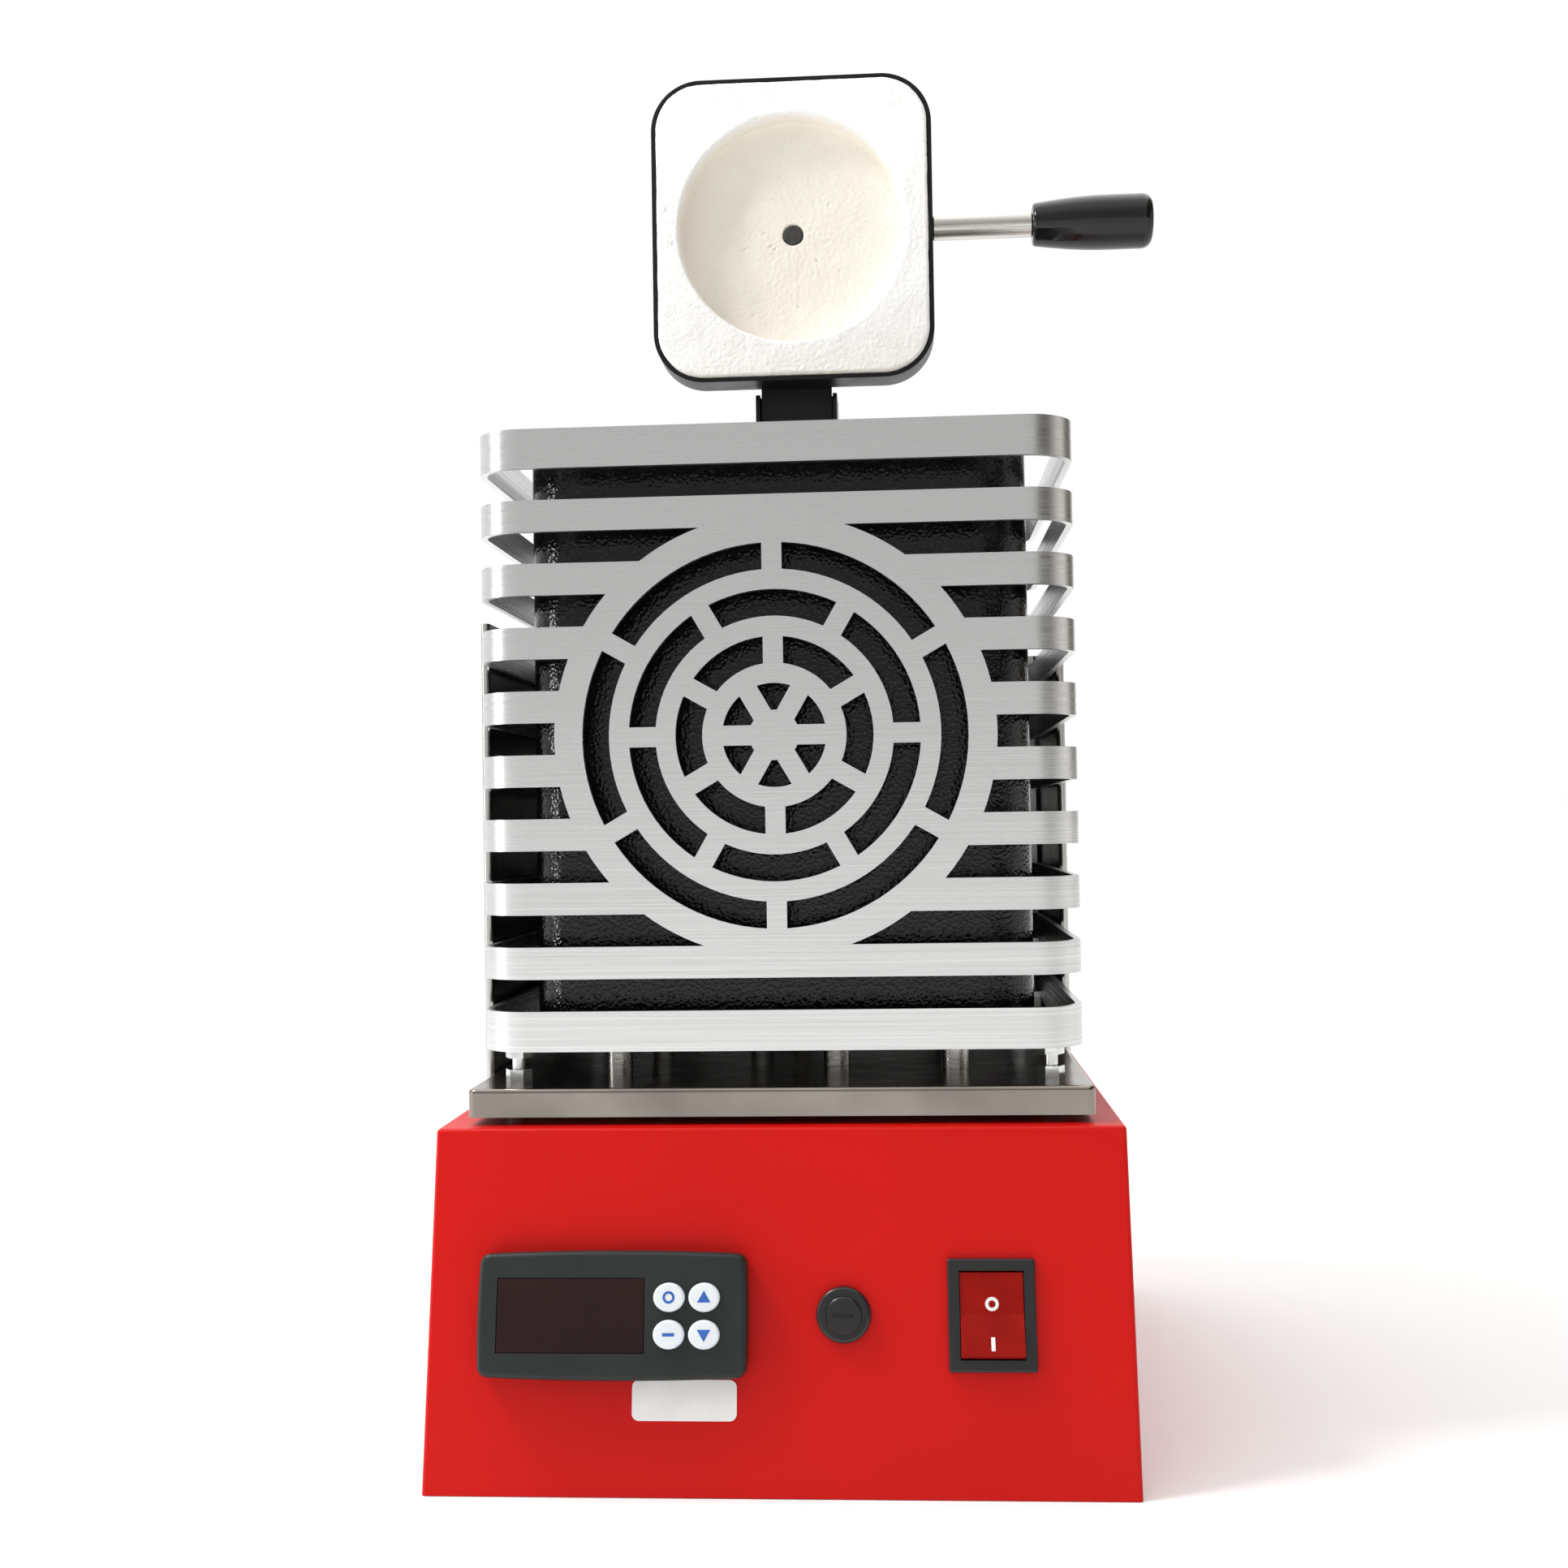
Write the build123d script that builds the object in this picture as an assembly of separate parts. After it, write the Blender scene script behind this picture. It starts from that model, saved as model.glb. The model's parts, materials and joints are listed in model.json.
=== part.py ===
from build123d import *
import math
import os

# A bench-top electric melting furnace with a hinged lid, in millimetres.
# +Z is up and the control panel faces -Y. The origin is on the ground, under the middle of the chamber.
# The lid is built standing open, which is joint value 0.

# ---------------------------------------------------------------- driving dimensions

# Base housing: folded steel with a leaning front panel
base_width = 200.0
base_height = 98.5
base_top_front = -100.0      # y of the edge between the top and the front panel
base_back = 110.0
base_slope_run = 21.0        # how far the front panel's foot stands ahead of its top edge
base_sheet = 1.5
base_edge_radius = 1.2
base_flange = 12.0           # height of the bottom plate's and the rear panel's flanges
base_plate_gap = 0.2         # between the housing and the plates that close it

# Panel controls, placed on the middle line of the front panel
panel_row = 0.485            # height of the row of controls, as a share of the panel's length
controller_x = -46.3
controller_width = 75.5
controller_height = 33.4
controller_bulge = 0.9       # how far the bezel's long edges bow outward
controller_proud = 7.0
controller_wall = 2.0
controller_body_width = 70.5
controller_body_height = 28.5
controller_body_depth = 58.0
cutout_gap = 0.25            # round each body in its panel cut-out
window_x = -11.6             # from the controller's centre
window_width = 42.0
window_height = 20.4
window_thickness = 1.2
button_columns = (16.4, 26.3)
button_rows = (5.0, -5.0)
button_width = 8.8
button_height = 7.9
button_proud = 1.6
button_travel = 0.8
button_gap = 0.2
button_lip = 0.8             # the flange that keeps a button behind the bezel
board_thickness = 1.2
fuse_x = 18.7
fuse_flange_radius = 7.7
fuse_flange_thickness = 2.4
fuse_body_radius = 6.2
fuse_body_depth = 34.0
fuse_cap_radius = 5.0
fuse_cap_proud = 1.2
fuse_slot_width = 0.9
fuse_slot_length = 5.9
fuse_slot_depth = 0.7
fuse_link_radius = 2.6
fuse_link_length = 20.0
fuse_gap = 0.1
fuse_cap_depth = 6.0
fuse_cup_depth = 8.0
fuse_cup_floor = 3.0         # of the carrier, between the cap's spigot and the cartridge
fuse_spigot_length = 2.0
switch_x = 60.2
switch_width = 24.5
switch_height = 30.6
switch_proud = 2.0
switch_opening_width = 18.1
switch_opening_height = 24.1
switch_body_width = 21.8
switch_body_height = 27.6
switch_body_depth = 20.0
switch_floor = 2.0
rocker_gap = 0.2
rocker_tilt = 8.0            # degrees to each side of level
rocker_pivot_depth = 0.5     # of the rocker's axis, behind the panel's face
rocker_ridge = 1.5           # height of the valley line between the rocker's halves
rocker_bottom = 7.5
trunnion_radius = 1.2
trunnion_length = 1.3
trunnion_gap = 0.05
panel_tab_length = 8.0       # of the fuse holder's and the switch's tabs
label_x = -26.2
label_row = 0.255            # height of the label, as a share of the panel's length
label_width = 29.5
label_height = 11.0
label_thickness = 0.3

# Rear panel with its appliance inlet
inlet_x = -55.0
inlet_z = 40.0
inlet_flange_width = 50.0
inlet_flange_height = 27.5
inlet_flange_thickness = 3.0
inlet_body_width = 29.0
inlet_body_height = 22.0
inlet_body_depth = 19.0
inlet_socket_width = 25.0
inlet_socket_height = 17.0
inlet_socket_depth = 17.5
inlet_pin_pitch = 14.0
inlet_pin_tail = 8.0         # of each blade, behind the inlet's body
inlet_screw_pitch = 40.0
vent_count = 7
vent_pitch = 8.0
vent_width = 3.5
vent_length = 46.0

# Electrics inside the base
heatsink_x = 42.0
heatsink_y = 30.0
heatsink_width = 62.0
heatsink_depth = 80.0
heatsink_fin_height = 18.0
heatsink_plate = 5.0
heatsink_fins = 8
fin_thickness = 2.0
relay_width = 45.0
relay_depth = 58.0
relay_height = 23.0
relay_step_height = 4.0      # of the sunk ends that hold the relay's screws
terminal_x = -20.0
terminal_y = 30.0
terminal_width = 50.0
terminal_depth = 22.0
terminal_height = 18.0
wire_radius = 1.2
heater_lead_levels = (12.0, 22.0)   # of the two heater leads, below their rods

# Drip tray: a folded sheet, open side down, standing on four spacers
tray_width = 184.0
tray_depth = 190.0
tray_lip = 8.3
tray_sheet = 1.2
tray_corner_radius = 2.5
tray_standoff = 9.5
spacer_radius = 4.0

# Guard: a closed ring of sheet with slots cut from it, on four studs
guard_width = 181.0
guard_depth = 176.0
guard_corner_radius = 15.0
guard_sheet = 2.0
guard_lift = 9.9             # above the tray
guard_end_slat = 12.0
guard_slat = 9.6
guard_slot = 9.58
guard_slot_count = 9
guard_back_strip = 11.0      # solid upright strip that joins the slats at the back
rosette_radius = 66.0
rosette_hub_radius = 7.5
rosette_rows = 4
rosette_slot = 8.0
rosette_band = 6.0
rosette_spokes = 6
rosette_spoke = 6.0
stud_x = 81.0
stud_y = 73.5
stud_radius = 2.0            # M4
stud_gap = 0.2
tab_size = 15.0
nut_width = 7.0              # across flats, M4
nut_height = 3.2

# Heat shield: a U of polished sheet round the tray's back, with one long wing
shield_sheet = 1.0
shield_bottom = 101.4
shield_top = 251.0
shield_bend = 2.5
shield_left_front = -58.0
shield_right_front = 12.0
shield_hem_radius = 1.4

# Chamber casing and its insulation
casing_width = 155.0
casing_depth = 150.0
casing_corner_radius = 18.0
casing_sheet = 1.2
casing_lift = 12.8           # above the tray
casing_height = 183.0
casing_gap = 0.2
post_spacing = 53.0
post_radius = 4.1
floor_thickness = 42.0
muffle_inner_radius = 40.0
muffle_wall = 6.0
coil_wire_radius = 1.5
coil_pitch = 22.0
coil_turns = 5.5
coil_gap = 0.3
hearth_thickness = 12.0
hearth_gap = 0.5
collar_flange_radius = 56.0
collar_neck_wall = 8.0
collar_height = 7.4
terminal_angle = -71.0       # degrees round the chamber to the first heater terminal
terminal_rod_radius = 1.4
rod_drop = 15.0              # how far the terminal rods reach below the base's top
feed_tube_radius = 4.2
feed_tube_wall = 1.0
feed_gap = 0.2
probe_y = 33.0
probe_radius = 3.0
probe_reach = 18.0           # above the hearth
probe_drop = 12.0            # below the base's top

# Lid and its hinge
lid_width = 106.0
lid_length = 115.0
lid_thickness = 16.0
lid_corner_radius = 19.0
lid_sheet = 1.5
lid_fibre_proud = 1.2
lid_fibre_gap = 0.3
lid_closing_gap = 0.3        # between the closed lid and the collar
lid_recess_radius = 43.0
lid_recess_depth = 9.5
anchor_head_radius = 3.8
anchor_head_height = 2.2
hinge_setback = 74.0         # y of the hinge pin, behind the chamber's centre
hinge_rise = 24.0            # the pin above the closed lid's face
hinge_pin_radius = 3.0
hinge_pin_gap = 0.05
hinge_knuckle_radius = 6.5
hinge_sheet = 1.5
strap_width = 27.0
strap_thickness = 4.0
strap_length_on_lid = 46.0
washer_thickness = 0.4
washer_gap = 0.05
bracket_front = 57.5
ear_front = 62.0
ear_above_pin = 14.3
stop_gap = 0.1
web_gap = 1.5                # between the knuckle and the bracket's back web
rod_radius = 4.5
rod_length = 37.5
rod_stub_radius = 3.0
rod_stub_length = 7.5
grip_length = 44.5
grip_inner_radius = 7.75
grip_outer_radius = 10.0
grip_bore_depth = 14.0
screw_radius = 1.5           # M3
screw_head_radius = 2.8
screw_head_height = 2.0
screw_gap = 0.15

# ---------------------------------------------------------------- derived places

slope = math.degrees(math.atan2(base_slope_run, base_height))
slope_cos = math.cos(math.radians(slope))
slope_sin = math.sin(math.radians(slope))

tray_under = base_height + tray_standoff
tray_top = tray_under + tray_sheet
guard_bottom = tray_top + guard_lift
guard_height = 2 * guard_end_slat + guard_slot_count * guard_slot + (guard_slot_count - 1) * guard_slat
guard_middle = guard_bottom + guard_height / 2
casing_bottom = tray_top + casing_lift
casing_top = casing_bottom + casing_height
floor_bottom = casing_bottom + casing_sheet
floor_top = floor_bottom + floor_thickness
hearth_top = floor_top + hearth_thickness
collar_top = casing_top + collar_height
muffle_outer_radius = muffle_inner_radius + muffle_wall
coil_radius = muffle_outer_radius + coil_gap + coil_wire_radius
wall_bore_radius = coil_radius + coil_wire_radius + coil_gap
wall_top = casing_top - casing_sheet
muffle_top = wall_top - collar_neck_wall / 2
coil_bottom = floor_top + 2 * coil_wire_radius
coil_height = coil_turns * coil_pitch
closed_face = collar_top + lid_closing_gap
hinge_z = closed_face + hinge_rise
lid_face_y = hinge_setback - hinge_rise
lid_centre_z = hinge_z + hinge_setback
stud_places = [(x, y) for x in (-stud_x, stud_x) for y in (-stud_y, stud_y)]
post_places = [(x, y) for x in (-post_spacing, post_spacing) for y in (-post_spacing, post_spacing)]
feed_angles = (terminal_angle, terminal_angle + 180)
feed_places = [
    (coil_radius * math.cos(math.radians(a)), coil_radius * math.sin(math.radians(a)))
    for a in feed_angles
]
probe_place = (0.0, probe_y)
fuse_cup_top = fuse_flange_thickness + fuse_cap_proud - fuse_cap_depth - fuse_gap
fuse_spigot_radius = fuse_link_radius - 0.6
relay_bottom = base_sheet + heatsink_fin_height + heatsink_plate
rod_bottom = base_height - rod_drop
ear_gap = strap_width / 2 + washer_thickness + 2 * washer_gap
ear_outside = ear_gap + hinge_sheet
bracket_back = hinge_setback + hinge_knuckle_radius + web_gap + hinge_sheet
ear_top = hinge_z + ear_above_pin

UP = (Align.CENTER, Align.CENTER, Align.MIN)
DOWN = (Align.CENTER, Align.CENTER, Align.MAX)
ALONG_X = Rot(0, 90, 0)
ALONG_Y = Rot(-90, 0, 0)


def on_panel(x, share, out=0.0):
    """A place on the front panel: +Z of the place points out of it, and +Y up along it."""
    run = base_slope_run * (1 - share)
    plane = Plane(
        origin=(x, base_top_front - run, base_height * share),
        x_dir=(1, 0, 0),
        z_dir=(0, -slope_cos, slope_sin),
    )
    return plane.location * Pos(0, 0, out)


def on_lid(x=0.0, y=0.0, out=0.0):
    """A place on the open lid's face: +Z of the place points to the front, and +Y up."""
    plane = Plane(origin=(0, lid_face_y, lid_centre_z), x_dir=(1, 0, 0), z_dir=(0, -1, 0))
    return plane.location * Pos(x, y, out)


controller_at = on_panel(controller_x, panel_row)
fuse_at = on_panel(fuse_x, panel_row)
switch_at = on_panel(switch_x, panel_row)
label_at = on_panel(label_x, label_row)

# ---------------------------------------------------------------- shared shapes


def prism(width, depth, height, radius, z=0.0):
    """An upright block with rounded upright edges, standing on z."""
    return Pos(0, 0, z) * extrude(RectangleRounded(width, depth, radius), height)


def rod(radius, height, x=0.0, y=0.0, z=0.0):
    """An upright cylinder standing on z."""
    return Pos(x, y, z) * Cylinder(radius, height, align=UP)


def ring(outer, inner, height, x=0.0, y=0.0, z=0.0):
    """An upright tube standing on z."""
    return rod(outer, height, x, y, z) - rod(inner, 3 * height, x, y, z - height)


def hexagon_nut(x, y, z, bore):
    """A nut standing on z."""
    body = extrude(RegularPolygon(nut_width / 2, 6, major_radius=False), nut_height)
    return Pos(x, y, z) * body - rod(bore, 3 * nut_height, x, y, z - nut_height)


def pan_screw(length):
    """A screw whose head sits on z = 0 and whose shank points down."""
    head = Cylinder(screw_head_radius, screw_head_height, align=UP)
    head = fillet(head.edges().sort_by(Axis.Z)[-1], screw_head_height * 0.45)
    drive = Pos(0, 0, screw_head_height) * Box(0.8, 3.2, 1.4)
    drive += Rot(0, 0, 90) * drive
    return head - drive + Cylinder(screw_radius, length, align=DOWN)


def group(solids):
    """Separate solids kept in one node."""
    return Compound(children=list(solids))


def wire(points, radius):
    """A round wire through the points, with arcs at the corners."""
    path = FilletPolyline(*points, radius=4 * wire_radius)
    return sweep(Plane(origin=path @ 0, z_dir=path % 0) * Circle(radius), path=path)


# ---------------------------------------------------------------- base housing


def base_block(inset):
    """The base's outer shape, or its hollow when inset is the sheet's thickness."""
    top = base_height - inset

    def front(z):
        return base_top_front - base_slope_run * (1 - z / base_height) + inset / slope_cos

    corners = [(front(0), 0), (front(top), top), (base_back, top), (base_back, 0)]
    outline = make_face(Polyline(*corners, close=True))
    return extrude(Plane.YZ * outline, amount=base_width / 2 - inset, both=True)


def make_base_housing():
    outer = base_block(0)
    top_edges = outer.faces().sort_by(Axis.Z)[-1].edges().sort_by(Axis.Y)[:-1]
    front_edges = outer.faces().sort_by(Axis.Y)[0].edges().sort_by(Axis.Z)[1:-1]
    outer = fillet(top_edges + front_edges, base_edge_radius)
    housing = outer - base_block(base_sheet)
    cut = 4 * base_sheet
    housing -= controller_at * Box(
        controller_body_width + 2 * cutout_gap, controller_body_height + 2 * cutout_gap, cut
    )
    housing -= fuse_at * Cylinder(fuse_body_radius + cutout_gap, cut)
    housing -= switch_at * Box(
        switch_body_width + 2 * cutout_gap, switch_body_height + 2 * cutout_gap, cut
    )
    for x, y in stud_places:
        housing -= rod(stud_radius + stud_gap, cut, x, y, base_height - cut / 2)
    for x, y in feed_places:
        housing -= rod(feed_tube_radius + feed_gap, cut, x, y, base_height - cut / 2)
    housing -= rod(probe_radius + feed_gap, cut, *probe_place, base_height - cut / 2)
    for place in housing_screw_places():
        housing -= place * Cylinder(screw_radius + screw_gap, 20)
    return housing


def housing_screw_places():
    """Screws through the side walls, into the flanges of the bottom plate and the rear panel."""
    low = base_sheet + base_flange / 2
    reach = base_back - base_sheet - base_flange / 2
    places = []
    for side in (-1, 1):
        turn = Rot(0, side * 90, 0)
        for y in (-70.0, 0.0, 70.0):
            places.append(Pos(side * base_width / 2, y, low) * turn)
        places.append(Pos(side * base_width / 2, reach, base_height * 0.72) * turn)
    return places


def make_base_bottom_plate():
    half = base_width / 2 - base_sheet - base_plate_gap
    lean = base_slope_run * (1 - base_sheet / base_height)
    front = base_top_front - lean + base_sheet / slope_cos + base_plate_gap
    back = base_back
    middle = (front + back) / 2
    plate = Pos(0, middle, 0) * Box(2 * half, back - front, base_sheet, align=UP)
    for side in (-1, 1):
        x = side * (half - base_sheet / 2)
        wall = Box(base_sheet, base_back - base_top_front - 30, base_flange, align=UP)
        plate += Pos(x, 0, base_sheet) * wall
    for row in range(5):
        slot = extrude(SlotOverall(heatsink_width, vent_width), 3 * base_sheet)
        y = heatsink_y + (row - 2) * 2 * vent_pitch
        plate -= Pos(heatsink_x, y, -base_sheet) * slot
    for place in housing_screw_places():
        plate -= place * Cylinder(screw_radius, 20)
    return plate


def make_base_rear_panel():
    half = base_width / 2 - base_sheet - base_plate_gap
    height = base_height - 2 * base_sheet - base_plate_gap
    middle = base_sheet + height / 2
    panel = Pos(0, base_back - base_sheet / 2, middle) * Box(2 * half, base_sheet, height)
    flange_bottom = base_sheet + base_flange + 2 * base_plate_gap
    flange_height = base_sheet + height - flange_bottom
    for side in (-1, 1):
        wall = Box(base_sheet, base_flange, flange_height, align=(Align.CENTER, Align.MAX, Align.MIN))
        panel += Pos(side * (half - base_sheet / 2), base_back - base_sheet, flange_bottom) * wall
    cut = Box(inlet_body_width + 2 * cutout_gap, 4 * base_sheet, inlet_body_height + 2 * cutout_gap)
    panel -= Pos(inlet_x, base_back, inlet_z) * cut
    for side in (-1, 1):
        hole = Cylinder(screw_radius + screw_gap, 4 * base_sheet)
        panel -= Pos(inlet_x + side * inlet_screw_pitch / 2, base_back, inlet_z) * ALONG_Y * hole
    for row in range(vent_count):
        slot = extrude(SlotOverall(vent_length, vent_width), 2 * base_sheet, both=True)
        z = inlet_z + (row - (vent_count - 1) / 2) * vent_pitch
        panel -= Pos(heatsink_x, base_back, z) * ALONG_Y * slot
    for place in housing_screw_places():
        panel -= place * Cylinder(screw_radius, 20)
    return panel


def make_housing_screws():
    screws = [place * pan_screw(base_sheet * 2 + base_plate_gap + 2) for place in housing_screw_places()]
    for side in (-1, 1):
        place = Pos(inlet_x + side * inlet_screw_pitch / 2, base_back + inlet_flange_thickness, inlet_z)
        screws.append(place * ALONG_Y * pan_screw(inlet_flange_thickness + base_sheet + 2))
    return group(screws)


def make_power_inlet():
    flange = Box(inlet_flange_width, inlet_flange_thickness, inlet_flange_height)
    flange = fillet(flange.edges().filter_by(Axis.Y), 4.0)
    backward = (Align.CENTER, Align.MAX, Align.CENTER)
    body = Box(inlet_body_width, inlet_body_depth, inlet_body_height, align=backward)
    inlet = Pos(0, inlet_flange_thickness / 2, 0) * flange + body
    socket = Box(inlet_socket_width, inlet_socket_depth, inlet_socket_height)
    socket = chamfer(socket.edges().filter_by(Axis.Y).sort_by(Axis.Z)[-2:], 4.0)
    inlet -= Pos(0, inlet_flange_thickness - inlet_socket_depth / 2, 0) * socket
    for x, z in inlet_pin_places():
        inlet -= Pos(x, -inlet_body_depth, z) * Box(2.0, 3 * inlet_body_depth, 4.0)
    for side in (-1, 1):
        hole = Cylinder(screw_radius + screw_gap, 3 * inlet_flange_thickness)
        inlet -= Pos(side * inlet_screw_pitch / 2, 0, 0) * ALONG_Y * hole
    return Pos(inlet_x, base_back, inlet_z) * inlet


def inlet_pin_places():
    """The three blades, as x and z from the inlet's centre."""
    return [(-inlet_pin_pitch / 2, 1.0), (inlet_pin_pitch / 2, 1.0), (0.0, 4.5 - inlet_body_height / 20)]


def make_inlet_pins():
    length = inlet_body_depth + inlet_pin_tail
    blade = Box(2.0, length, 4.0, align=(Align.CENTER, Align.MIN, Align.CENTER))
    back = base_back - inlet_body_depth - inlet_pin_tail
    return group(Pos(inlet_x + x, back, inlet_z + z) * blade for x, z in inlet_pin_places())


def make_label_plate():
    return label_at * extrude(RectangleRounded(label_width, label_height, 2.0), label_thickness)


# ---------------------------------------------------------------- controller


def bezel_outline(inset=0.0):
    """The controller's front outline: four gently bowed edges with rounded corners."""
    half_w = controller_width / 2 - inset
    half_h = controller_height / 2 - inset
    bow = controller_bulge
    top = ThreePointArc((-half_w, half_h), (0, half_h + bow), (half_w, half_h))
    right = ThreePointArc((half_w, half_h), (half_w + bow / 2, 0), (half_w, -half_h))
    bottom = ThreePointArc((half_w, -half_h), (0, -half_h - bow), (-half_w, -half_h))
    left = ThreePointArc((-half_w, -half_h), (-half_w - bow / 2, 0), (-half_w, half_h))
    face = make_face(top + right + bottom + left)
    return fillet(face.vertices(), 3.0 - inset / 2)


def button_places():
    """The four buttons' names and places from the controller's centre."""
    left, right = button_columns
    upper, lower = button_rows
    return {
        "button_menu": (left, upper),
        "button_up": (right, upper),
        "button_set": (left, lower),
        "button_down": (right, lower),
    }


def make_controller_bezel():
    bezel = extrude(bezel_outline(), controller_proud)
    bezel = fillet(bezel.faces().sort_by(Axis.Z)[-1].edges(), 1.6)
    pocket = extrude(bezel_outline(controller_wall), controller_proud - controller_wall)
    bezel -= pocket
    recess = Box(window_width, window_height, window_thickness, align=DOWN)
    bezel -= Pos(window_x, 0, controller_proud) * recess
    sight = Box(window_width - 3, window_height - 3, 3 * controller_wall)
    bezel -= Pos(window_x, 0, controller_proud) * sight
    for x, y in button_places().values():
        outline = Ellipse(button_width / 2 + button_gap, button_height / 2 + button_gap)
        hole = extrude(outline, 3 * controller_wall)
        bezel -= Pos(x, y, controller_proud - 2 * controller_wall) * hole
    return controller_at * bezel


def make_controller_window():
    pane = Box(window_width - 2 * cutout_gap, window_height - 2 * cutout_gap, window_thickness, align=DOWN)
    return controller_at * Pos(window_x, 0, controller_proud) * pane


def make_controller_board():
    """The display board, with its digit block and one key switch behind each button."""
    wide = controller_width - 2 * controller_wall - 3.0
    tall = controller_height - 2 * controller_wall - 1.0
    board = Box(wide, tall, board_thickness, align=UP)
    under_window = controller_proud - controller_wall
    digits = Box(window_width - 4, window_height - 4, under_window - board_thickness, align=UP)
    board += Pos(window_x, 0, board_thickness) * digits
    key_top = controller_proud - controller_wall - button_lip - button_travel - 0.1
    for x, y in button_places().values():
        board += Pos(x, y, board_thickness) * Cylinder(1.7, key_top - board_thickness, align=UP)
    return controller_at * board


def make_controller_body():
    body = Box(controller_body_width, controller_body_height, controller_body_depth, align=DOWN)
    body = fillet(body.edges().filter_by(Axis.Z), 1.5)
    return controller_at * body


def make_controller_clamp():
    """The frame that slides on from behind and pulls the bezel against the panel."""
    inner_w = controller_body_width + 2 * cutout_gap
    inner_h = controller_body_height + 2 * cutout_gap
    frame = Box(inner_w + 8, inner_h + 8, 9.0, align=DOWN) - Box(inner_w, inner_h, 30)
    return controller_at * Pos(0, 0, -base_sheet) * frame


def make_button(x, y):
    """One key cap: a domed oval with a lip that stays behind the bezel."""
    stem = extrude(Ellipse(button_width / 2, button_height / 2), controller_wall + button_proud)
    stem = fillet(stem.faces().sort_by(Axis.Z)[-1].edges(), 0.7)
    lip = extrude(Ellipse(button_width / 2 + 0.35, button_height / 2 + 0.35), -button_lip)
    return controller_at * Pos(x, y, controller_proud - controller_wall) * (stem + lip)


# ---------------------------------------------------------------- fuse holder


def make_fuse_holder():
    flange = Cylinder(fuse_flange_radius, fuse_flange_thickness, align=UP)
    flange = fillet(flange.edges().sort_by(Axis.Z)[-1], 1.0)
    holder = flange + Cylinder(fuse_body_radius, fuse_body_depth, align=DOWN)
    holder += Pos(0, 0, -fuse_body_depth) * Box(5.0, 0.8, panel_tab_length, align=DOWN)
    bore = fuse_cap_radius + fuse_gap
    holder -= Pos(0, 0, fuse_flange_thickness) * Cylinder(bore, fuse_body_depth, align=DOWN)
    return fuse_at * holder


def make_fuse_holder_nut():
    nut = extrude(RegularPolygon(8.5, 6, major_radius=False), -4.0)
    nut -= Cylinder(fuse_body_radius + fuse_gap, 20)
    return fuse_at * Pos(0, 0, -base_sheet) * nut


def make_fuse_cap():
    """The turning cap with its screwdriver slot, and a spigot that turns in the carrier."""
    top = fuse_flange_thickness + fuse_cap_proud
    cap = Pos(0, 0, top) * Cylinder(fuse_cap_radius, fuse_cap_depth, align=DOWN)
    cap = chamfer(cap.edges().sort_by(Axis.Z)[-1], 0.4)
    cap -= Pos(0, 0, top) * Box(fuse_slot_length, fuse_slot_width, 2 * fuse_slot_depth)
    spigot = Cylinder(fuse_spigot_radius, fuse_spigot_length, align=DOWN)
    cap += Pos(0, 0, top - fuse_cap_depth) * spigot
    return fuse_at * cap


def make_fuse_carrier():
    """The cup that grips the cartridge and draws it out with the cap."""
    cup = Pos(0, 0, fuse_cup_top) * Cylinder(fuse_cap_radius - 4 * fuse_gap, fuse_cup_depth, align=DOWN)
    spigot_room = fuse_spigot_length + 4 * fuse_gap
    cup -= Pos(0, 0, fuse_cup_top) * Cylinder(fuse_spigot_radius + fuse_gap, 2 * spigot_room)
    grip = Cylinder(fuse_link_radius + fuse_gap, fuse_cup_depth, align=DOWN)
    cup -= Pos(0, 0, fuse_cup_top - fuse_cup_floor) * grip
    return fuse_at * cup


def make_fuse_cartridge():
    top = fuse_cup_top - fuse_cup_floor
    return fuse_at * Pos(0, 0, top) * Cylinder(fuse_link_radius, fuse_link_length, align=DOWN)


# ---------------------------------------------------------------- mains switch


def make_switch_frame():
    rim = Box(switch_width, switch_height, switch_proud, align=UP)
    rim = fillet(rim.faces().sort_by(Axis.Z)[-1].edges() + rim.edges().filter_by(Axis.Z), 0.6)
    frame = rim + Box(switch_body_width, switch_body_height, switch_body_depth, align=DOWN)
    well = switch_body_depth - switch_floor
    frame -= Pos(0, 0, switch_proud) * Box(
        switch_opening_width, switch_opening_height, well + switch_proud, align=DOWN
    )
    socket = Cylinder(trunnion_radius + trunnion_gap, switch_opening_width + 2 * trunnion_length + 0.4)
    frame -= Pos(0, 0, -rocker_pivot_depth) * ALONG_X * socket
    for x in (-6.0, 6.0):
        for y in (-7.0, 7.0):
            frame += Pos(x, y, -switch_body_depth) * Box(0.8, 6.3, panel_tab_length, align=DOWN)
    return switch_at * frame


def make_switch_rocker():
    """A rocker with a shallow valley, tipped so that its upper half is pressed in."""
    width = switch_opening_width - 2 * rocker_gap
    end = switch_opening_height / 2 - rocker_gap
    ridge = rocker_ridge + rocker_pivot_depth
    rise = end * math.tan(math.radians(rocker_tilt))
    tip = ridge + rise
    section = [(-end, tip), (0, ridge), (end, tip), (end, -rocker_bottom), (-end, -rocker_bottom)]
    body = extrude(Plane.YZ * make_face(Polyline(*section, close=True)), amount=width / 2, both=True)
    body &= ALONG_X * Cylinder(end, width)
    body = fillet(body.edges().filter_by(Axis.X).sort_by(Axis.Z)[-2:], 0.5)
    body += ALONG_X * Cylinder(trunnion_radius, width + 2 * rocker_gap + 2 * trunnion_length)
    return switch_at * Pos(0, 0, -rocker_pivot_depth) * Rot(-rocker_tilt, 0, 0) * body


# ---------------------------------------------------------------- electrics in the base


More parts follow.
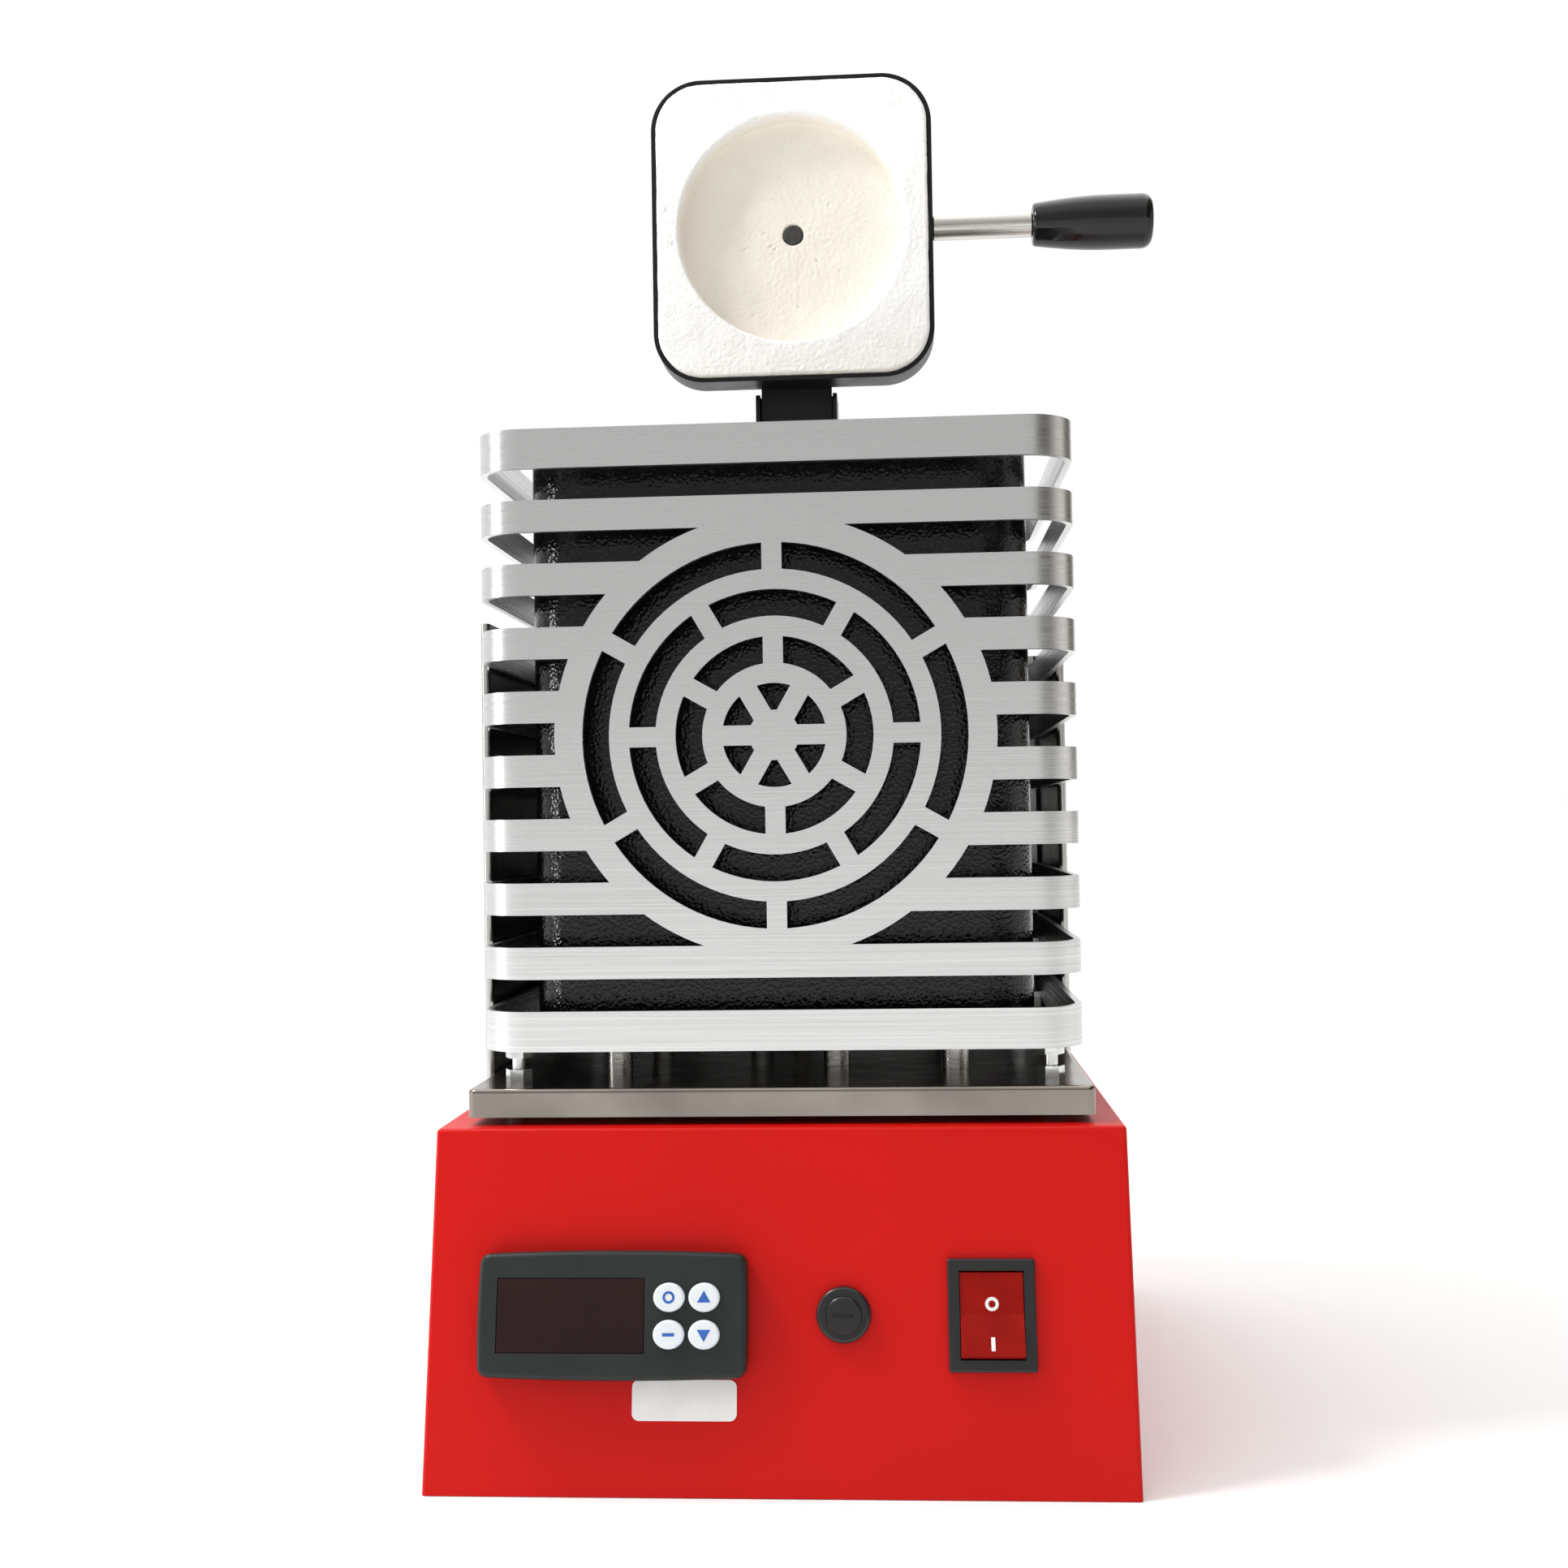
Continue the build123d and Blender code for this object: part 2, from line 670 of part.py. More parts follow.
def make_ssr_heatsink():
    plate_bottom = base_sheet + heatsink_fin_height
    sink = Pos(0, 0, plate_bottom) * Box(heatsink_width, heatsink_depth, heatsink_plate, align=UP)
    pitch = (heatsink_width - fin_thickness) / (heatsink_fins - 1)
    for index in range(heatsink_fins):
        x = -heatsink_width / 2 + fin_thickness / 2 + index * pitch
        fin = Box(fin_thickness, heatsink_depth, heatsink_fin_height, align=UP)
        sink += Pos(x, 0, base_sheet) * fin
    return Pos(heatsink_x, heatsink_y, 0) * sink


def make_solid_state_relay():
    relay = Box(relay_width, relay_depth, relay_height, align=UP)
    relay = fillet(relay.edges().filter_by(Axis.Z), 2.0)
    for side in (-1, 1):
        end = Pos(0, side * relay_depth / 2, relay_height) * Box(relay_width - 14, 18, 2 * relay_step_height)
        relay -= end
    return Pos(heatsink_x, heatsink_y, relay_bottom) * relay


def make_terminal_block():
    block = Box(terminal_width, terminal_depth, terminal_height, align=UP)
    for index in range(4):
        x = (index - 1.5) * terminal_width / 4
        block -= Pos(x, 0, terminal_height) * Cylinder(2.6, 8)
    return Pos(terminal_x, terminal_y, base_sheet) * block


def make_internal_wiring():
    """Insulated leads between the inlet, the controls, the relay and the heater."""
    block_top = base_sheet + terminal_height
    pitch = terminal_width / 4
    block_back = terminal_y + terminal_depth / 2 - 4
    block_front = terminal_y - 4
    inlet_back = base_back - inlet_body_depth - inlet_pin_tail - wire_radius
    relay_front = heatsink_y - relay_depth / 2 + 5
    relay_step = relay_bottom + relay_height - relay_step_height + wire_radius
    leads = []
    for index, (x, z) in enumerate(inlet_pin_places()):
        drop = (terminal_x + (index - 1) * pitch, block_back)
        start = (inlet_x + x, inlet_back, inlet_z + z)
        leads.append([start, (*drop, inlet_z + z), (*drop, block_top)])
    for (x, y), side, fall in zip(feed_places, (1, -1), heater_lead_levels):
        block_x = terminal_x + side * pitch
        level = rod_bottom - fall
        drop = (block_x, block_front)
        leads.append([(x, y, rod_bottom), (x, y, level), (*drop, level), (*drop, block_top)])
    fuse_tail = (fuse_at * Pos(0, 0, -fuse_body_depth - panel_tab_length)).position
    level = fuse_tail.Z
    drop = (terminal_x, block_front)
    leads.append([fuse_tail, (fuse_x, fuse_tail.Y + 20, level), (*drop, level), (*drop, block_top)])
    switch_tail = (switch_at * Pos(-6, 7, -switch_body_depth - panel_tab_length)).position
    bend = (switch_tail.X, relay_front - 50, relay_step + 8)
    leads.append([switch_tail, bend, (heatsink_x + 6, relay_front, relay_step)])
    meter_depth = controller_body_depth + wire_radius / 2
    meter_back = (controller_at * Pos(20, 5, -meter_depth)).position
    bend = (meter_back.X + 25, relay_front - 30, relay_step)
    leads.append([meter_back, bend, (heatsink_x - 8, relay_front, relay_step)])
    sensor_back = (controller_at * Pos(-15, 5, -meter_depth)).position
    probe_foot = base_height - probe_drop
    bend = (sensor_back.X + 10, -25, probe_foot - 30)
    leads.append([(*probe_place, probe_foot), (*probe_place, probe_foot - 8), bend, sensor_back])
    return group(wire(points, wire_radius) for points in leads)


# ---------------------------------------------------------------- tray, guard and shield


def make_drip_tray():
    top = prism(tray_width, tray_depth, tray_lip, tray_corner_radius, tray_top - tray_lip)
    top = fillet(top.faces().sort_by(Axis.Z)[-1].edges(), tray_sheet)
    inner_width = tray_width - 2 * tray_sheet
    inner_depth = tray_depth - 2 * tray_sheet
    inner_radius = tray_corner_radius - tray_sheet
    tray = top - prism(inner_width, inner_depth, tray_lip, inner_radius, tray_under - tray_lip)
    for x, y in stud_places:
        tray -= rod(stud_radius + stud_gap, 20, x, y, tray_under - 10)
    for x, y in post_places:
        tray -= rod(stud_radius + stud_gap, 20, x, y, tray_under - 10)
    for x, y in feed_places:
        tray -= rod(feed_tube_radius + feed_gap, 20, x, y, tray_under - 10)
    tray -= rod(probe_radius + feed_gap, 20, *probe_place, tray_under - 10)
    for place in shield_screw_places():
        tray -= place * Cylinder(screw_radius, 8)
    return tray


def make_tray_spacers():
    return group(
        ring(spacer_radius, stud_radius + stud_gap, tray_standoff, x, y, base_height) for x, y in stud_places
    )


def rosette_slots():
    """Concentric arc slots in a round plate, cut by spokes that step round from ring to ring."""
    cutters = []
    inner = rosette_hub_radius
    for row in range(rosette_rows):
        outer = inner + rosette_slot
        arcs = ring(outer, inner, 3 * guard_sheet, z=-guard_sheet)
        for index in range(rosette_spokes):
            turn = Rot(0, 0, index * 360 / rosette_spokes + row * 180 / rosette_spokes)
            outward = (Align.MIN, Align.CENTER, Align.CENTER)
            arcs -= turn * Box(outer + 1, rosette_spoke, 9 * guard_sheet, align=outward)
        cutters += arcs.solids()
        inner = outer + rosette_band
    return cutters


def make_guard():
    """One ring of sheet: level slots all round, and a round vent plate left in its front."""
    guard = prism(guard_width, guard_depth, guard_height, guard_corner_radius, guard_bottom)
    inner_width = guard_width - 2 * guard_sheet
    inner_depth = guard_depth - 2 * guard_sheet
    inner_radius = guard_corner_radius - guard_sheet
    guard -= prism(inner_width, inner_depth, guard_height + 2, inner_radius, guard_bottom - 1)
    plate_at = Pos(0, -guard_depth / 2, guard_middle) * Rot(90, 0, 0)
    plate = plate_at * Cylinder(rosette_radius, 8 * guard_sheet)
    strip = Pos(0, guard_depth / 2, guard_middle) * Box(guard_back_strip, 8 * guard_sheet, guard_height)
    keep = plate + strip
    for index in range(guard_slot_count):
        z = guard_bottom + guard_end_slat + index * (guard_slot + guard_slat)
        band = Pos(0, 0, z) * Box(guard_width + 20, guard_depth + 20, guard_slot, align=UP)
        guard -= band - keep
    for cutter in rosette_slots():
        guard -= plate_at * cutter
    footprint = prism(
        guard_width - guard_sheet,
        guard_depth - guard_sheet,
        guard_sheet,
        guard_corner_radius - guard_sheet / 2,
        guard_bottom,
    )
    for x, y in stud_places:
        side = math.copysign(1, x)
        inner_edge = x - side * tab_size / 2
        outer_edge = side * guard_width / 2
        width = abs(outer_edge - inner_edge)
        tab = Pos((inner_edge + outer_edge) / 2, y, guard_bottom) * Box(width, tab_size, 3 * guard_sheet)
        guard += tab & footprint
        guard -= rod(stud_radius + stud_gap, 4 * guard_sheet, x, y, guard_bottom - guard_sheet)
    return guard


def stud_nut_levels():
    """Where each stud carries a nut: under the base's top, on the tray, and round the guard's tab."""
    return (
        base_height - base_sheet - nut_height,
        tray_top,
        guard_bottom - nut_height,
        guard_bottom + guard_sheet,
    )


def make_guard_studs():
    bottom = stud_nut_levels()[0] - 2.0
    top = stud_nut_levels()[-1] + nut_height + 1.5
    return group(rod(stud_radius, top - bottom, x, y, bottom) for x, y in stud_places)


def make_guard_nuts():
    return group(hexagon_nut(x, y, z, stud_radius) for x, y in stud_places for z in stud_nut_levels())


def shield_screw_places():
    """Screws through the shield and the tray's lip: each place's +Z points outward."""
    z = tray_top - tray_lip * 0.42
    side_x = tray_width / 2 + shield_sheet
    back_y = tray_depth / 2 + shield_sheet
    left = [Pos(-side_x, y, z) * Rot(0, -90, 0) for y in (shield_left_front + 12, 70.0)]
    right = [Pos(side_x, y, z) * Rot(0, 90, 0) for y in (shield_right_front + 12, 70.0)]
    back = [Pos(x, back_y, z) * ALONG_Y for x in (-60.0, 60.0)]
    return left + right + back


def make_heat_shield():
    inner_w = tray_width
    inner_d = tray_depth
    height = shield_top - shield_bottom
    outer = prism(inner_w + 2 * shield_sheet, inner_d + 2 * shield_sheet, height, shield_bend, shield_bottom)
    shield = outer - prism(inner_w, inner_d, height + 2, shield_bend - shield_sheet, shield_bottom - 1)
    deep = 2 * tray_depth
    for side, front in ((-1, shield_left_front), (1, shield_right_front)):
        away = Box(tray_width, deep, height + 2, align=(Align.CENTER, Align.MAX, Align.MIN))
        shield -= Pos(side * tray_width / 2, front, shield_bottom - 1) * away
        hem_x = side * (tray_width / 2 + shield_hem_radius)
        shield += rod(shield_hem_radius, height, hem_x, front, shield_bottom)
    for place in shield_screw_places():
        shield -= place * Cylinder(screw_radius + screw_gap, 8)
    return shield


def make_shield_screws():
    return group(place * pan_screw(shield_sheet + tray_sheet + 1.5) for place in shield_screw_places())


# ---------------------------------------------------------------- chamber


def casing_inside(bottom, height, gap):
    """A block that fills the casing's sleeve, with a gap all round."""
    wall = casing_sheet + gap
    radius = casing_corner_radius - wall
    return prism(casing_width - 2 * wall, casing_depth - 2 * wall, height, radius, bottom)


def make_casing_sleeve():
    height = wall_top - casing_bottom
    sleeve = prism(casing_width, casing_depth, height, casing_corner_radius, casing_bottom)
    return sleeve - casing_inside(casing_bottom - 1, height + 2, 0)


def casing_screw_places():
    """Screws that hold the hinge bracket and the top plate, pointing down."""
    rows = (bracket_front + 4, bracket_front + 12)
    bracket = [Pos(x, y, casing_top + hinge_sheet) for x in (-9.0, 9.0) for y in rows]
    corner_x = casing_width / 2 - casing_corner_radius
    corner_y = casing_depth / 2 - casing_corner_radius
    plate = [Pos(x, y, casing_top) for x in (-corner_x, corner_x) for y in (-corner_y, corner_y)]
    return bracket, plate


def make_casing_top_plate():
    plate = prism(casing_width, casing_depth, casing_sheet, casing_corner_radius, wall_top)
    plate -= rod(muffle_inner_radius + collar_neck_wall + hearth_gap, 9, z=wall_top - 4)
    bracket, corners = casing_screw_places()
    for place in bracket + corners:
        plate -= place * Cylinder(screw_radius, 12)
    return plate


def make_casing_bottom_plate():
    plate = casing_inside(casing_bottom, casing_sheet, casing_gap)
    for x, y in post_places:
        plate -= rod(stud_radius + stud_gap, 10, x, y, casing_bottom - 5)
    for x, y in feed_places:
        plate -= rod(feed_tube_radius + feed_gap, 10, x, y, casing_bottom - 5)
    return plate - rod(probe_radius + feed_gap, 10, *probe_place, casing_bottom - 5)


def make_casing_screws():
    bracket, corners = casing_screw_places()
    screws = [place * pan_screw(hinge_sheet + casing_sheet + 1.5) for place in bracket]
    screws += [place * pan_screw(casing_sheet + 3) for place in corners]
    return group(screws)


def make_support_posts():
    return group(
        ring(post_radius, stud_radius + stud_gap, casing_lift, x, y, tray_top) for x, y in post_places
    )


def make_post_bolts():
    """One bolt per post: head under the tray, nut on the casing's bottom plate."""
    bolts = []
    for x, y in post_places:
        length = floor_bottom + nut_height + 1.0 - tray_under
        bolts.append(rod(stud_radius, length, x, y, tray_under) + rod(3.5, 2.6, x, y, tray_under - 2.6))
        bolts.append(hexagon_nut(x, y, floor_bottom, stud_radius))
    return group(bolts)


def make_insulation_floor():
    block = casing_inside(floor_bottom, floor_thickness, casing_gap)
    for x, y in post_places:
        block -= rod(nut_width * 0.6 + 0.5, nut_height + 2, x, y, floor_bottom - 0.5)
    for x, y in feed_places:
        block -= rod(feed_tube_radius + feed_gap, 6, x, y, floor_bottom - 1)
        block -= rod(terminal_rod_radius + 0.4, 2 * floor_thickness, x, y, floor_bottom - 1)
    return block - rod(probe_radius + 0.3, 2 * floor_thickness, *probe_place, floor_bottom - 1)


def make_insulation_wall():
    block = casing_inside(floor_top, wall_top - floor_top, casing_gap)
    block -= rod(wall_bore_radius, 2 * casing_height, z=floor_top - 1)
    for place in casing_screw_places()[0] + casing_screw_places()[1]:
        block -= place * Cylinder(screw_radius + 0.5, 14)
    return block


def make_chamber_muffle():
    return ring(muffle_outer_radius, muffle_inner_radius, muffle_top - floor_top, z=floor_top)


def make_heating_coil():
    """Two interleaved windings round the muffle, joined over the top by half a turn."""
    solids = []
    for angle in feed_angles:
        path = Helix(coil_pitch, coil_height, coil_radius)
        section = Plane(origin=path @ 0, z_dir=path % 0) * Circle(coil_wire_radius)
        winding = sweep(section, path=path, is_frenet=True)
        solids.append(Rot(0, 0, angle) * Pos(0, 0, coil_bottom) * winding)
    end_angle = feed_angles[0] + coil_turns * 360
    bridge = CenterArc((0, 0, 0), coil_radius, 0, 180)
    link = sweep(Plane(origin=bridge @ 0, z_dir=bridge % 0) * Circle(coil_wire_radius), path=bridge)
    lift = coil_bottom + coil_height + 2 * coil_wire_radius
    solids.append(Pos(0, 0, lift) * Rot(0, 0, end_angle) * link)
    return group(solids)


def make_heater_terminals():
    """Straight rods from the base up to the start of each winding."""
    top = coil_bottom - coil_wire_radius
    return group(rod(terminal_rod_radius, top - rod_bottom, x, y, rod_bottom) for x, y in feed_places)


def make_feed_tubes():
    bottom = base_height - base_sheet - 4.0
    top = floor_bottom + 4.0
    bore = feed_tube_radius - feed_tube_wall
    return group(ring(feed_tube_radius, bore, top - bottom, x, y, bottom) for x, y in feed_places)


def make_feed_insulators():
    bottom = base_height - base_sheet - 7.0
    top = floor_bottom + 4.0
    outer = feed_tube_radius - feed_tube_wall - 0.1
    bore = terminal_rod_radius + 0.1
    return group(ring(outer, bore, top - bottom, x, y, bottom) for x, y in feed_places)


def make_hearth_disc():
    disc = rod(muffle_inner_radius - hearth_gap, hearth_thickness, z=floor_top)
    return disc - rod(probe_radius + 0.3, 3 * hearth_thickness, *probe_place, floor_top - hearth_thickness)


def make_mouth_collar():
    """The ceramic ring round the mouth: a neck down to the muffle and a flange over the top plate."""
    neck_radius = muffle_inner_radius + collar_neck_wall
    collar = rod(neck_radius, collar_top - muffle_top, z=muffle_top)
    flange = rod(collar_flange_radius, collar_height, z=casing_top)
    collar += chamfer(flange.edges().sort_by(Axis.Z)[-1], 1.5)
    collar -= rod(muffle_inner_radius, 60, z=muffle_top - 20)
    return collar


def make_thermocouple_probe():
    bottom = base_height - probe_drop
    top = hearth_top + probe_reach
    probe = rod(probe_radius, top - bottom, *probe_place, bottom)
    return fillet(probe.edges().sort_by(Axis.Z)[-1], probe_radius * 0.9)


# ---------------------------------------------------------------- hinge and lid

hinge_at = Pos(0, hinge_setback, hinge_z)


def make_hinge_bracket():
    """Folded sheet: a foot on the casing, two ears for the pin, a back web and a stop for the open lid."""
    rearward = (Align.CENTER, Align.MIN, Align.MIN)
    foot = Box(2 * ear_outside, bracket_back - bracket_front, hinge_sheet, align=rearward)
    bracket = Pos(0, bracket_front, casing_top) * foot
    for side in (-1, 1):
        ear = Box(hinge_sheet, bracket_back - ear_front, ear_top - casing_top, align=rearward)
        front_edges = ear.edges().filter_by(Axis.X).sort_by(Axis.Y)[:2].sort_by(Axis.Z)[-1:]
        ear = fillet(front_edges, 3.0)
        bracket += Pos(side * (ear_outside - hinge_sheet / 2), ear_front, casing_top) * ear
    web = Box(2 * ear_outside, hinge_sheet, ear_top - casing_top, align=(Align.CENTER, Align.MAX, Align.MIN))
    bracket += Pos(0, bracket_back, casing_top) * web
    stop_front = lid_face_y + lid_thickness + strap_thickness + stop_gap
    hanging = (Align.CENTER, Align.MIN, Align.MAX)
    stop = Box(2 * ear_outside, bracket_back - stop_front, hinge_sheet, align=hanging)
    bracket += Pos(0, stop_front, ear_top) * stop
    bracket -= hinge_at * ALONG_X * Cylinder(hinge_pin_radius, 60)
    for place in casing_screw_places()[0]:
        bracket -= place * Cylinder(screw_radius + screw_gap, 8)
    return bracket


def make_hinge_pin():
    head = 1.6
    pin = Cylinder(hinge_pin_radius, 2 * ear_outside + 2 * head)
    for side in (-1, 1):
        pin += Pos(0, 0, side * (ear_outside + head / 2)) * Cylinder(hinge_pin_radius + 1.6, head)
    pin = chamfer(pin.edges().sort_by(Axis.Z)[-1:] + pin.edges().sort_by(Axis.Z)[:1], 0.5)
    return hinge_at * ALONG_X * pin


def make_hinge_washers():
    middle = strap_width / 2 + washer_gap + washer_thickness / 2
    washer = Cylinder(hinge_knuckle_radius - 0.5, washer_thickness) - Cylinder(hinge_pin_radius + 0.1, 5)
    return group(hinge_at * Pos(side * middle, 0, 0) * ALONG_X * washer for side in (-1, 1))


def make_lid_shell():
    outline = RectangleRounded(lid_width, lid_length, lid_corner_radius)
    shell = on_lid(out=-lid_thickness) * extrude(outline, lid_thickness - lid_fibre_proud)
    shell = fillet(shell.faces().sort_by(Axis.Y)[-1].edges(), 1.2)
    room_width = lid_width - 2 * lid_sheet
    room_length = lid_length - 2 * lid_sheet
    room = RectangleRounded(room_width, room_length, lid_corner_radius - lid_sheet)
    shell -= on_lid(out=-lid_thickness + lid_sheet) * extrude(room, lid_thickness)
    shell -= on_lid(out=-lid_thickness) * Cylinder(stud_radius + stud_gap, 12)
    shell -= on_lid(lid_width / 2, 0, -lid_thickness / 2) * ALONG_X * Cylinder(rod_stub_radius + 0.1, 8)
    for place in strap_screw_places():
        shell -= place * Cylinder(screw_radius + screw_gap, 12)
    return shell


def make_lid_insulation():
    gap = 2 * lid_sheet + 2 * lid_fibre_gap
    outline = RectangleRounded(lid_width - gap, lid_length - gap, lid_corner_radius - gap / 2)
    depth = lid_thickness - lid_sheet
    block = on_lid(out=-depth) * extrude(outline, depth)
    block = fillet(block.faces().sort_by(Axis.Y)[0].edges(), 0.8)
    block -= on_lid() * Cylinder(lid_recess_radius, 2 * lid_recess_depth)
    head_room = anchor_head_height + 0.3
    block -= on_lid(out=-lid_recess_depth) * Cylinder(anchor_head_radius + 0.3, 2 * head_room)
    block -= on_lid(out=-depth) * Cylinder(stud_radius + stud_gap, 20)
    pocket_x = lid_width / 2 - lid_sheet - rod_stub_length / 2
    pocket = Box(rod_stub_length + 1, 13, 13)
    block -= on_lid(pocket_x, 0, -depth + 6.5) * pocket
    for place in strap_screw_places():
        block -= place * Cylinder(screw_radius + 0.4, 2 * (lid_sheet + strap_thickness + 3.5))
    return block


def strap_screw_places():
    """Screws through the strap into the lid's back: each place's +Z points to the rear."""
    low = -lid_length / 2 + 10.0
    places = []
    for x in (-8.0, 8.0):
        for y in (low, low + strap_length_on_lid - 20.0):
            places.append(on_lid(x, y, -lid_thickness - strap_thickness) * Rot(180, 0, 0))
    return places


def make_lid_strap():
    """The flat strap on the lid's back that ends in the hinge knuckle."""
    bottom = -hinge_setback
    top = -lid_length / 2 + strap_length_on_lid
    strap = on_lid(0, bottom, -lid_thickness) * Box(
        strap_width, top - bottom, strap_thickness, align=(Align.CENTER, Align.MIN, Align.MAX)
    )
    upper = strap.edges().filter_by(Axis.Y).sort_by(Axis.Z)[-2:]
    strap = fillet(upper, 6.0)
    strap += hinge_at * ALONG_X * Cylinder(hinge_knuckle_radius, strap_width)
    strap -= hinge_at * ALONG_X * Cylinder(hinge_pin_radius + hinge_pin_gap, 60)
    for place in strap_screw_places():
        strap -= place * Cylinder(screw_radius + screw_gap, 12)
    return strap


def make_lid_fasteners():
    """The strap's screws, the anchor's nut and the handle's nut."""
    pieces = [place * pan_screw(strap_thickness + lid_sheet + 2.5) for place in strap_screw_places()]
    pieces.append(on_lid(out=-lid_thickness) * Rot(180, 0, 0) * hexagon_nut(0, 0, 0, stud_radius))
    nut = extrude(RegularPolygon(5.0, 6, major_radius=False), 4.5) - Cylinder(rod_stub_radius, 20)
    inner_wall = lid_width / 2 - lid_sheet
    pieces.append(on_lid(inner_wall, 0, -lid_thickness / 2) * Rot(0, -90, 0) * nut)
    return group(pieces)


def make_lid_anchor_screw():
    """The screw whose sunk head holds the fibre in the shell."""
    head = Cylinder(anchor_head_radius, anchor_head_height, align=DOWN)
    head = fillet(head.edges().sort_by(Axis.Z)[-1], 0.6)
    length = lid_thickness - lid_recess_depth + nut_height + 1.0
    screw = head + Cylinder(stud_radius, length, align=DOWN)
    return on_lid(out=-lid_recess_depth) * screw


def make_lid_handle_rod():
    shaft = Cylinder(rod_radius, rod_length, align=UP)
    shaft = chamfer(shaft.edges().filter_by(GeomType.CIRCLE), 0.5)
    shaft += Cylinder(rod_stub_radius, rod_stub_length, align=DOWN)
    shaft += Pos(0, 0, rod_length) * Cylinder(rod_stub_radius, grip_bore_depth - 1, align=UP)
    return on_lid(lid_width / 2, 0, -lid_thickness / 2) * ALONG_X * shaft


def make_lid_handle_grip():
    """A tapered grip that widens outward and rounds over at both ends."""
    swell = grip_length * 0.55
    end_radius = grip_outer_radius - 0.6
    shoulder = grip_length - 3.0
    side = [(grip_inner_radius, 0), (grip_outer_radius, swell), (grip_outer_radius, shoulder)]
    outline = [(0, 0), *side, (end_radius, grip_length), (0, grip_length)]
    face = make_face(Polyline(*outline, close=True))
    grip = revolve(Plane.XZ * face, Axis.Z)
    grip = fillet(grip.edges().filter_by(GeomType.CIRCLE).group_by(Axis.Z)[0], 1.0)
    grip -= Cylinder(rod_stub_radius + 0.1, 2 * grip_bore_depth)
    return on_lid(lid_width / 2 + rod_length, 0, -lid_thickness / 2) * ALONG_X * grip


# ---------------------------------------------------------------- all nodes


def make_nodes():
    nodes = {
        "base_housing": make_base_housing(),
        "base_bottom_plate": make_base_bottom_plate(),
        "base_rear_panel": make_base_rear_panel(),
        "housing_screws": make_housing_screws(),
        "power_inlet": make_power_inlet(),
        "inlet_pins": make_inlet_pins(),
        "label_plate": make_label_plate(),
        "controller_bezel": make_controller_bezel(),
        "controller_window": make_controller_window(),
        "controller_board": make_controller_board(),
        "controller_body": make_controller_body(),
        "controller_clamp": make_controller_clamp(),
        "fuse_holder": make_fuse_holder(),
        "fuse_holder_nut": make_fuse_holder_nut(),
        "fuse_cap": make_fuse_cap(),
        "fuse_carrier": make_fuse_carrier(),
        "fuse_cartridge": make_fuse_cartridge(),
        "switch_frame": make_switch_frame(),
        "switch_rocker": make_switch_rocker(),
        "ssr_heatsink": make_ssr_heatsink(),
        "solid_state_relay": make_solid_state_relay(),
        "terminal_block": make_terminal_block(),
        "internal_wiring": make_internal_wiring(),
        "drip_tray": make_drip_tray(),
        "tray_spacers": make_tray_spacers(),
        "guard": make_guard(),
        "guard_studs": make_guard_studs(),
        "guard_nuts": make_guard_nuts(),
        "heat_shield": make_heat_shield(),
        "shield_screws": make_shield_screws(),
        "casing_sleeve": make_casing_sleeve(),
        "casing_top_plate": make_casing_top_plate(),
        "casing_bottom_plate": make_casing_bottom_plate(),
        "casing_screws": make_casing_screws(),
        "support_posts": make_support_posts(),
        "post_bolts": make_post_bolts(),
        "insulation_floor": make_insulation_floor(),
        "insulation_wall": make_insulation_wall(),
        "chamber_muffle": make_chamber_muffle(),
        "heating_coil": make_heating_coil(),
        "heater_terminals": make_heater_terminals(),
        "feed_tubes": make_feed_tubes(),
        "feed_insulators": make_feed_insulators(),
        "hearth_disc": make_hearth_disc(),
        "mouth_collar": make_mouth_collar(),
        "thermocouple_probe": make_thermocouple_probe(),
        "hinge_bracket": make_hinge_bracket(),
        "hinge_pin": make_hinge_pin(),
        "hinge_washers": make_hinge_washers(),
        "lid_shell": make_lid_shell(),
        "lid_insulation": make_lid_insulation(),
        "lid_strap": make_lid_strap(),
        "lid_fasteners": make_lid_fasteners(),
        "lid_anchor_screw": make_lid_anchor_screw(),
        "lid_handle_rod": make_lid_handle_rod(),
        "lid_handle_grip": make_lid_handle_grip(),
    }
    for name, (x, y) in button_places().items():
        nodes[name] = make_button(x, y)
    return nodes


os.makedirs("parts", exist_ok=True)
for node_name, shape in make_nodes().items():
    export_step(shape, f"parts/{node_name}.step")
print(f"panel slope {slope:.2f} degrees, hinge pin at y {hinge_setback:.2f} z {hinge_z:.2f}")
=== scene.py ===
# %% [markdown]
# # A bench-top kiln furnace, dressed in Blender
# The furnace has a red control base, a polished drip tray, a slotted aluminium guard round a black
# chamber, and a fibre-lined lid that stands open on a hinge.
# Its solid parts come from the construction model, already in their places and in metres.
# This lesson gives each of them its finish, builds the lid's fibre block and the grip again with
# softer shapes, and adds the marks that are printed on the keys and the switch.

# %% Load the frame
import json
import math

import bpy
from mathutils import Matrix, Vector, noise
from mathutils.bvhtree import BVHTree


